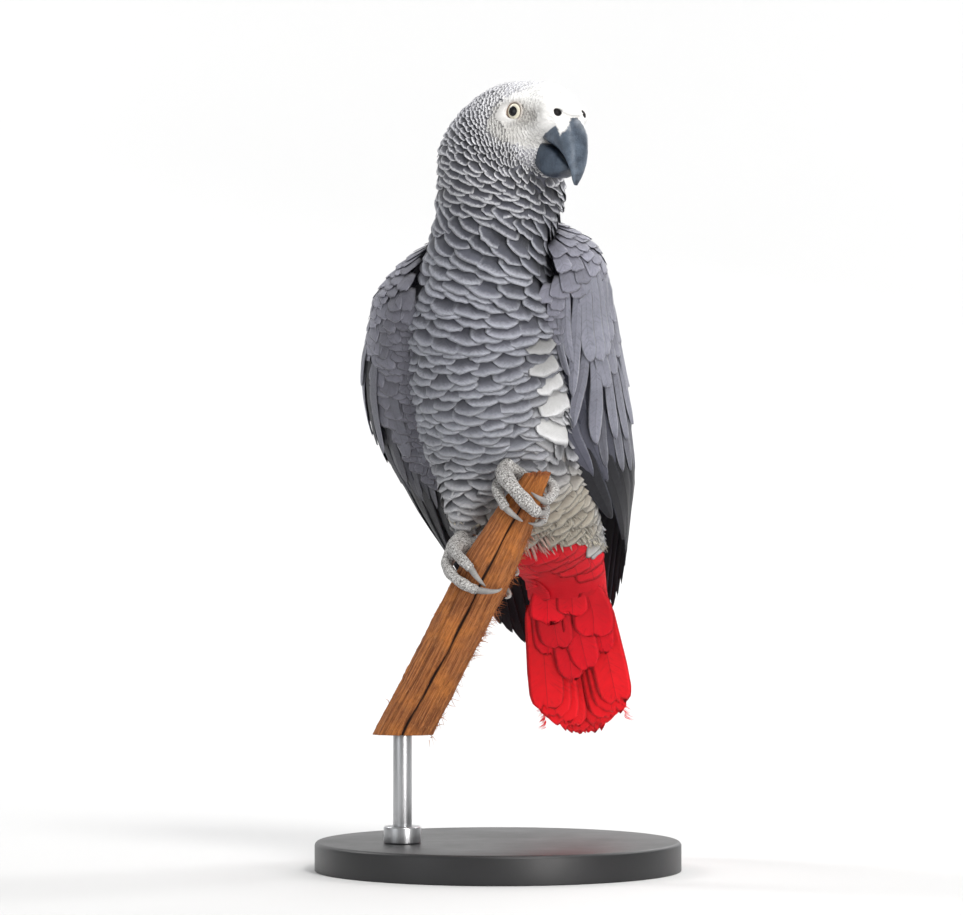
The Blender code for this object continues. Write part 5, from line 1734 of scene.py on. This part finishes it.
def make_eyes():
    """Each eye is a ball of rings about its way out, read from its middle by the iris's colours; its
    lid is a ring rolled round the opening: centre + (r + b cos q) round(p) + (h + b sin q) out."""
    radius = EYE_RADIUS - 0.05
    tilt = np.linspace(0.02, np.pi - 0.02, 60)[:, None]
    p, q = whole_turn(120)[:, None], whole_turn(18)
    opening = 4.05 - 0.12 * np.cos(2 * p)
    roll = 0.62 * (1 + 0.10 * np.sin(17 * p + 2 * np.sin(3 * p)) + 0.06 * np.sin(41 * p))
    away = opening + roll * (0.55 + np.cos(q))
    height = np.sqrt(radius**2 - opening**2) + 0.15 + roll * 0.8 * np.sin(q)
    inner = (1 - ease(3.75, 4.55, away))[..., None]
    lid_tint = blend(colour(196, 190, 184), colour(112, 78, 56), inner).reshape(-1, 3)
    for side, word in ((1, "left"), (-1, "right")):
        frame_here = centre, out, across, up = eye_frame(side)
        ball = about_axis(*frame_here, radius * np.cos(tilt), radius * np.sin(tilt), whole_turn(64))
        points, faces = tube(in_head(ball))
        apart = to_head(points) - centre
        shown = np.where(apart @ out > 0, np.linalg.norm(apart - np.outer(apart @ out, out), axis=1), 9.0)
        angle = np.arctan2(apart @ up, apart @ across)
        rays = {"out": shown, "ray_x": np.cos(angle), "ray_y": np.sin(angle)}
        make_piece(f"eye_{word}", points, faces, EYE, attributes=rays, stands_for=(f"eye_{word}",))
        ring = in_head(about_axis(*frame_here, height, away, p))
        points, quads = ring.reshape(-1, 3), grid_quads(*ring.shape[:2], closed=True, looped=True)
        ways = points[quads].mean(1) - ring.mean(1)[quads[:, 0] // ring.shape[1]]
        if wound_inwards(points[quads[:, :3].T], ways):
            quads = quads[:, ::-1]
        values = {"tint": lid_tint}
        make_piece(f"eyelid_{word}", points, quads, BARE_SKIN, attributes=values)


# ---- the branch
def branch_frame():
    """The branch's middle, its way up, and the directions to the bird's right and to the front."""
    middle, low = np.array(BRANCH_MIDDLE), np.array(BRANCH_LOW)
    up = unit(middle - low)
    front = unit(np.array([0, -1.0, 0]) + up * up[1])
    right = np.cross(up, front)
    return middle, up, right if right[0] < 0 else -right, front


def round_branch(along, angle, height):
    """Points by place along the branch, degrees round it and height above its bark."""
    along, angle, height = np.broadcast_arrays(*(np.asarray(v, float) for v in (along, angle, height)))
    return about_axis(*branch_frame(), along, table(BRANCH_RADII, along) + height, np.radians(angle))


def split_depth(along, angle):
    """The long split down the front, which wanders a little, and a shallower one beside it."""
    path = 92 + 3 * np.sin(along / 15) + 1.2 * np.sin(along / 4.1 + 1)
    wide = 0.55 + 0.45 * np.sin(along / 9 + 2) ** 2
    arc = np.radians(angle - path) * 12
    deep = np.exp(-((arc / wide) ** 2)) * ease(14, 2, along)
    other = np.radians(angle - 52 - 6 * np.sin(along / 17)) * 12
    return np.clip(deep + 0.5 * bell((other, 0, 1.0)) * ease(-20, -40, along), 0, 1)


def bark(along, angle):
    """Height of the stripped wood: three lobes, long fibres, and the splits."""
    turn_by = np.radians(angle)
    long_place = np.stack([np.cos(turn_by) * 12, np.sin(turn_by) * 12, along / 14 + 0 * turn_by], -1)
    fibres = 0.36 * ripples(long_place, 5.0, 61, 6) + 0.26 * ripples(long_place, 1.9, 62, 8)
    fine = 0.15 * ripples(long_place * np.array([1, 1, 3.5]), 0.9, 63, 8)
    return BARK_LOBES * np.sin(3 * turn_by) - 0.25 + fibres + fine - 1.7 * split_depth(along, angle)


CAP_SHARES = (0.93, 0.82, 0.68, 0.52, 0.36, 0.2, 0.08)  # the shrinking rings that close both ends
BRANCH_SIDES, GRAIN_WIDTH = 180, 40


def make_branch():
    """Rings of bark from the sawn lower end to the broken top, which is closed by shrinking rings
    whose heights follow torn fibres."""
    _, up, _, _ = branch_frame()
    length = np.linalg.norm(np.array(BRANCH_MIDDLE) - BRANCH_LOW)
    sides, caps = BRANCH_SIDES, len(CAP_SHARES)
    angle = np.arange(sides) * 360 / sides
    place = np.linspace(-length, BRANCH_TOP, 300)
    torn = np.stack([np.cos(np.radians(angle)) * 9, np.sin(np.radians(angle)) * 9, 0 * angle], -1)
    shift_top = -(1 + 3 * np.cos(np.radians(angle))) + 0.9 * ripples(torn, 2.4, 64)
    along, around = np.meshgrid(place, angle, indexing="ij")
    rings = round_branch(along, around, bark(along, around))
    near_top = ease(4, BRANCH_TOP, along)[..., None]
    rings = rings + near_top * (shift_top[None, :, None] - 0.4) * up
    drop = (BRANCH_LOW[2] - rings[0, :, 2]) / up[2]
    near_low = (1 - ease(-length, -length + 16, along))[..., None]
    rings = rings + near_low * drop[None, :, None] * up
    caps_top, caps_low = [], []
    for share in CAP_SHARES:
        spot = rings[-1].mean(0) + (rings[-1] - rings[-1].mean(0)) * share
        inside = torn * share
        fibres = 0.8 * ripples(inside, 2.0, 65) + 0.6 * ripples(inside, 0.9, 66) - 0.5
        caps_top.append(spot + fibres[:, None] * up)
        caps_low.append(rings[0].mean(0) + (rings[0] - rings[0].mean(0)) * share)
    points, faces = tube(np.concatenate([caps_low[::-1], rings, caps_top]))
    low, top = caps * sides, (caps + len(place)) * sides
    split, dry = np.zeros(len(points)), np.zeros(len(points))
    # where the wood's colour gets painted shade in the splits
    split[low:top] = ease(0.25, 0.8, split_depth(along, around)).ravel()
    dry[top:], dry[:low] = 1.0, 0.4
    grain = grain_map(faces, sides, np.r_[np.full(caps, -1.0), place / 3, np.full(caps, 8.0)])
    make_piece(
        "perch", points, faces, WOOD, uvs={"Grain": grain},
        attributes={"split": split, "dry": dry}, stands_for=("perch",),
    )


def make_wood_fibres():
    """Loose fibres on the branch, most of them on the torn upper part of its bark."""
    _, up, _, _ = branch_frame()
    random = np.random.default_rng(67)
    count = 420
    at = np.where(
        random.uniform(size=count) < 0.75, random.uniform(-75, 14, count), random.uniform(-118, -60, count)
    )
    where = np.where(
        random.uniform(size=count) < 0.72, random.normal(172, 12, count), random.uniform(0, 360, count)
    )
    base = round_branch(at, where, bark(at, where) - 0.25)
    out = unit(round_branch(at, where, 5.0) - round_branch(at, where, 0.0))
    way = unit(out * random.uniform(0.15, 0.9, (count, 1)) + up * random.normal(0, 0.9, (count, 1)))
    curl = unit(random.normal(size=(count, 3)) + out * 0.5)
    sizes = random.uniform(1.0, 4.4, count), random.uniform(0.08, 0.24, count)
    points, faces = bristles(base, way, curl, *sizes, 1.3)
    make_piece(
        "wood_fibres", points, faces, WOOD, uvs={"Grain": points[:, [0, 2]] * 0.4},
        attributes={"split": np.zeros(len(points)), "dry": np.ones(len(points))},
    )


def grain_map(faces, sides, place):
    """The wood's map for each face corner, with no jump where the last side meets the first."""
    uv = []
    for part in faces:
        row, side = np.divmod(part, sides)
        u = side / sides
        wrapped = (u.max(1) - u.min(1) > 0.5)[:, None] & (u < 0.25)
        u = np.where(wrapped, u + 1, u)
        uv.append(np.stack([u * GRAIN_WIDTH, place[np.minimum(row, len(place) - 1)]], -1).reshape(-1, 2))
    return np.concatenate(uv)


def bristles(base, way, curl, length, radius, bend):
    """Thin tapered hairs, closed at both ends: point(u) = base + length (u way + bend u^2 curl)."""
    u = np.array([0, 0.3, 0.6, 0.85, 1.0])
    size = np.array([1, 0.85, 0.6, 0.35, 0.06])
    curve = bend * 0.5 * u[:, None] ** 2 * curl[:, None]
    middle = base[:, None] + length[:, None, None] * (u[:, None] * way[:, None] + curve)
    along = unit(np.gradient(middle, axis=1))
    side = unit(np.cross(along, curl[:, None] + 0.01))
    up = np.cross(along, side)
    angle = np.arange(4) * np.pi / 2
    ring = np.cos(angle)[:, None] * side[:, :, None] + np.sin(angle)[:, None] * up[:, :, None]
    grid = middle[:, :, None] + ring * (radius[:, None] * size)[..., None, None]
    count = len(base)
    quads = grid_quads(5, 4, True)
    ends = np.array([[0, 1, 2, 3], [19, 18, 17, 16]])
    faces = np.concatenate([quads[:, ::-1], ends[:, ::-1]])
    first = grid[0].reshape(-1, 3)
    if wound_inwards(first[faces[:1, :3].T], first[faces[:1]].mean(1) - middle[0, :2].mean(0)):
        faces = faces[:, ::-1]
    faces = faces[None] + np.arange(count)[:, None, None] * 20
    return grid.reshape(-1, 3), [faces.reshape(-1, 4)]


# ---- the legs and feet
def toe_line(name, steps):
    """A toe's middle line round the branch, from its smoothed rows."""
    return round_branch(*resampled(TOES[name], steps).T)


def fused(name, tubes, size):
    """Closed tubes made one surface: their meshes joined and remeshed in cubes of the given size."""
    points, faces, start = [], [], 0
    for part_points, part_faces in tubes:
        points.append(part_points)
        for part in part_faces:
            faces += (part + start).tolist()
        start += len(part_points)
    mesh = bpy.data.meshes.new(name + "_rough")
    mesh.from_pydata((np.vstack(points) * MM).tolist(), [], faces)
    rough = bpy.data.objects.new(name + "_rough", mesh)
    bpy.context.scene.collection.objects.link(rough)
    remesh = rough.modifiers.new("one_skin", "REMESH")
    remesh.mode, remesh.voxel_size, remesh.adaptivity = "VOXEL", size * MM, 0.0
    smooth = rough.modifiers.new("soften", "SMOOTH")
    smooth.factor, smooth.iterations = 0.5, 5
    made = bpy.data.meshes.new_from_object(rough.evaluated_get(bpy.context.evaluated_depsgraph_get()))
    place = np.zeros(len(made.vertices) * 3)
    made.vertices.foreach_get("co", place)
    normal = np.zeros(len(made.vertices) * 3)
    made.vertices.foreach_get("normal", normal)
    sizes = np.zeros(len(made.polygons), int)
    made.polygons.foreach_get("loop_total", sizes)
    corners = np.zeros(len(made.loops), int)
    made.loops.foreach_get("vertex_index", corners)
    starts = np.concatenate([[0], np.cumsum(sizes)[:-1]])
    groups = [corners[starts[sizes == k][:, None] + np.arange(k)] for k in np.unique(sizes)]
    bpy.data.objects.remove(rough)
    bpy.data.meshes.remove(mesh)
    bpy.data.meshes.remove(made)
    return place.reshape(-1, 3) / MM, normal.reshape(-1, 3), groups


def foot_tubes(word):
    """Closed tubes for a shank, its four toes and the palm at each toe's root, and their middle lines."""
    tubes, lines = [], []
    fine = resampled(SHANKS[word], 16)
    start = fine[0, :3] + (fine[0, :3] - fine[2, :3]) * 2.0
    fine = np.vstack([[*start, fine[0, 3]], fine])
    tubes.append(tube(tube_rings(fine[:, :3], fine[:, 3], 24)))
    lines.append(fine[:, :3])
    names = [n for n in TOES if n.startswith(word)]
    for name in names:
        line, part = toe_line(name, 48), np.linspace(0, 1, 48)
        radii = np.interp(part, [0, 1], TOE_RADII[name])
        knuckles = 2 if len(TOES[name]) == 4 else 3
        radii = radii * (1 + 0.07 * np.cos(part * knuckles * 2 * np.pi) - 0.03)
        radii = radii * np.where(part > 0.93, 1 - 0.35 * ((part - 0.93) / 0.07) ** 2, 1)
        tubes.append(tube(tube_rings(line, radii, 26)))
        lines.append(line)
        palm = np.stack([line[0], (line[0] + fine[-1, :3]) / 2, fine[-1, :3]])
        tubes.append(tube(tube_rings(palm, [3.0, 3.5, 4.0], 20)))
    return names, tubes, lines


def make_claw(name):
    """A claw on round the branch from inside its toe's end: a thinning, bowed tube that sinks to a point."""
    swing, shift = CLAWS[name]
    place, angle, height = TOES[name][-1]
    reach = np.radians(swing) * (np.interp(place, *zip(*BRANCH_RADII)) + height)
    step = 1.6 / abs(reach)
    part = np.linspace(-0.45, 1.0, 30)
    bow = height + 0.6 * np.sin(np.pi * part.clip(0)) - (height - 1.1) * part.clip(0) ** 2
    line = round_branch(place + shift * (part + step), angle + swing * (part + step), bow)
    radii = CLAW_RADIUS * np.interp(part, [-0.45, 0.0, 0.5, 0.9, 1.0], [1.0, 1.12, 0.72, 0.32, 0.08])
    points, claw_faces = tube(tube_rings(line, radii, 20))
    none = {"cere": np.zeros(len(points))}
    claw = f"claw_{name}"
    make_piece(claw, points, claw_faces, CLAW_HORN, attributes=none, stands_for=(claw,))


def make_feet():
    """Each foot is its shank and four toes fused into one skin, then creased across at every scale.

    crease(x) = exp(-((x mod scale - scale / 2) / width)^2) for the length x along the nearest toe.
    """
    scale, width = 1.7, 0.17
    middle, up, _, _ = branch_frame()
    for word in ("left", "right"):
        names, tubes, lines = foot_tubes(word)
        points, normals, faces = fused(f"foot_{word}", tubes, 0.5)
        path = np.concatenate(lines)
        along = np.concatenate(
            [np.r_[0, np.linalg.norm(np.diff(line, axis=0), axis=1).cumsum()] for line in lines]
        )
        way = np.concatenate([unit(np.gradient(line, axis=0)) for line in lines])
        parts = np.split(points, range(4000, len(points), 4000))
        near = np.concatenate([((some[:, None] - path) ** 2).sum(-1).argmin(1) for some in parts])
        x = along[near] + ((points - path[near]) * way[near]).sum(1)
        axis_point = middle + np.outer((points - middle) @ up, up)
        outward = ((points - path[near]) * unit(points - axis_point)).sum(1) / 3.0
        upper = ease(-0.35, 0.4, outward)
        groove = bell((np.mod(x + 0.25 * ripples(points, 4, 91), scale), scale / 2, width)) * upper
        pads = 0.10 * ripples(points, 1.5, 92) * (1 - upper) + 0.05 * ripples(points, 1.1, 93)
        points = points + normals * (0.08 - 0.26 * groove + pads)[:, None]
        shown = tuple(f"toe_{n}" for n in names) + (f"shank_{word}",)
        crease = {"crease": 0.75 * groove}
        make_piece(f"foot_{word}", points, faces, SCALY, attributes=crease, stands_for=shown)
        for name in names:
            make_claw(name)


# ---- the stand
def turned_piece(name, profile, centre, sides, material):
    """A form turned about an upright axis from (radius, height) points; its ends close to poles."""
    radius, height = np.array(profile, float).T[..., None]
    right, back, up = np.eye(3)
    rings = about_axis(np.array([*centre, 0.0]), up, right, back, height, radius, whole_turn(sides))
    points, faces = tube(rings)
    return make_piece(name, points, faces, material, stands_for=(name,))


def rounded(radius, low, high, round_by, steps=6):
    """A profile from the middle of the underside to the middle of the top, its edges rounded."""
    turn_by = np.linspace(0, np.pi / 2, steps)
    lower = [(radius - 0.4 + 0.4 * np.sin(a), low + 0.4 - 0.4 * np.cos(a)) for a in turn_by]
    top = high - round_by
    upper = [(radius - round_by + round_by * np.cos(a), top + round_by * np.sin(a)) for a in turn_by]
    return [(radius * 0.5, low), *lower, *upper, (radius * 0.6, high), (radius * 0.2, high)]


def make_stand():
    """A round base, a collar on it, and a rod from the collar to the branch's sawn end."""
    x, y, low = BRANCH_LOW
    foot = BASE_HEIGHT + 0.3
    top = foot + COLLAR_HEIGHT
    base, collar, rod = (
        rounded(BASE_RADIUS, 0, BASE_HEIGHT, 2.0), rounded(COLLAR_RADIUS, foot, top, 1.0),
        rounded(ROD_RADIUS, top - 2, low + 1.5, 0.4),
    )
    turned_piece("stand_base", base, (0, 0), 192, PAINT)
    turned_piece("stand_collar", collar, (x, y), 72, STEEL)
    turned_piece("stand_rod", rod, (x, y), 56, STEEL)


# ---- the stage, lights and camera
def make_stage():
    """A pale floor that sweeps up behind: level, then a quarter circle, then upright."""
    bend, wide = 3.2, 9.0
    flat = np.linspace(-5.0, 0.9, 12)
    turn_by = np.linspace(0, np.pi / 2, 24)[1:]
    y = np.r_[flat, 0.9 + bend * np.sin(turn_by), 0.9 + bend]
    z = np.r_[0 * flat, bend - bend * np.cos(turn_by), 8.0]
    x = np.linspace(-wide, wide, 13)
    grid = np.stack(np.broadcast_arrays(x[None, :], y[:, None], z[:, None]), -1)
    b = start_material("pale_floor", 0.85, Specular_IOR_Level=0.2)
    material = b.finish(b.mix(b.noise(b.place(), 1.3, 2.0), colour(210, 210, 210), colour(214, 214, 214)))
    mesh = bpy.data.meshes.new("floor")
    quads = grid_quads(*grid.shape[:2])[:, ::-1]
    mesh.from_pydata(grid.reshape(-1, 3).tolist(), [], quads.tolist())
    mesh.shade_smooth()
    mesh.materials.append(material)
    floor = bpy.data.objects.new("floor", mesh)
    bpy.context.scene.collection.objects.link(floor)


def look_at(thing, place, target):
    """Puts a light or camera at a place, with its -Z towards the target."""
    thing.location = place
    thing.rotation_euler = (Vector(target) - Vector(place)).to_track_quat("-Z", "Y").to_euler()


def add_light(name, place, target, size, power, tint=(1, 1, 1)):
    """A round soft lamp of a given width and power, turned to its target."""
    lamp = bpy.data.lights.new(name, "AREA")
    lamp.shape, lamp.size, lamp.energy, lamp.color = "DISK", size, power, tint
    thing = bpy.data.objects.new(name, lamp)
    bpy.context.scene.collection.objects.link(thing)
    look_at(thing, place, target)


def make_studio():
    """Lamps in front, above and behind, two on the backdrop, an even sky, and the camera."""
    middle = (0.0, 0.0, 0.22)
    add_light("key", (0.75, -1.35, 1.75), middle, 0.6, 25, (1.0, 0.99, 0.97))
    add_light("fill", (-1.7, -1.5, 0.5), middle, 1.4, 6, (0.95, 0.975, 1.0))
    add_light("low", (0.9, -1.5, 0.22), (0.01, 0.0, 0.12), 0.5, 11, (1.0, 0.98, 0.96))
    add_light("top", (0.2, 0.2, 2.1), middle, 1.0, 14)
    add_light("back", (0.8, 1.7, 1.2), middle, 1.2, 8)
    for side in (-1, 1):
        add_light(f"backdrop_{side + 1}", (2.6 * side, 1.4, 2.6), (0.6 * side, 4.0, 1.0), 1.6, 85)
    world = bpy.data.worlds.new("studio")
    world.use_nodes = True
    sky = world.node_tree.nodes["Background"].inputs
    sky["Color"].default_value, sky["Strength"].default_value = (1, 1, 1, 1), 0.42
    bpy.context.scene.world = world
    bpy.context.scene.view_settings.view_transform = "Standard"
    lens = bpy.data.cameras.new("camera")
    lens.lens, lens.sensor_width, lens.clip_end = 180, 36, 60
    camera = bpy.data.objects.new("camera", lens)
    bpy.context.scene.collection.objects.link(camera)
    camera.location = (-0.00792, -2.3112, 0.198)
    camera.rotation_euler = (np.pi / 2, 0, 0)
    bpy.context.scene.camera = camera


make_skin()
make_body_coat()
make_flank_feathers()
make_down()
make_wing(1.0, "left", 300)
make_wing(-1.0, "right", 400)
make_tail()
make_tail_barbs()
make_bill()
make_eyes()
make_branch()
make_wood_fibres()
make_feet()
make_stand()
make_stage()
make_studio()
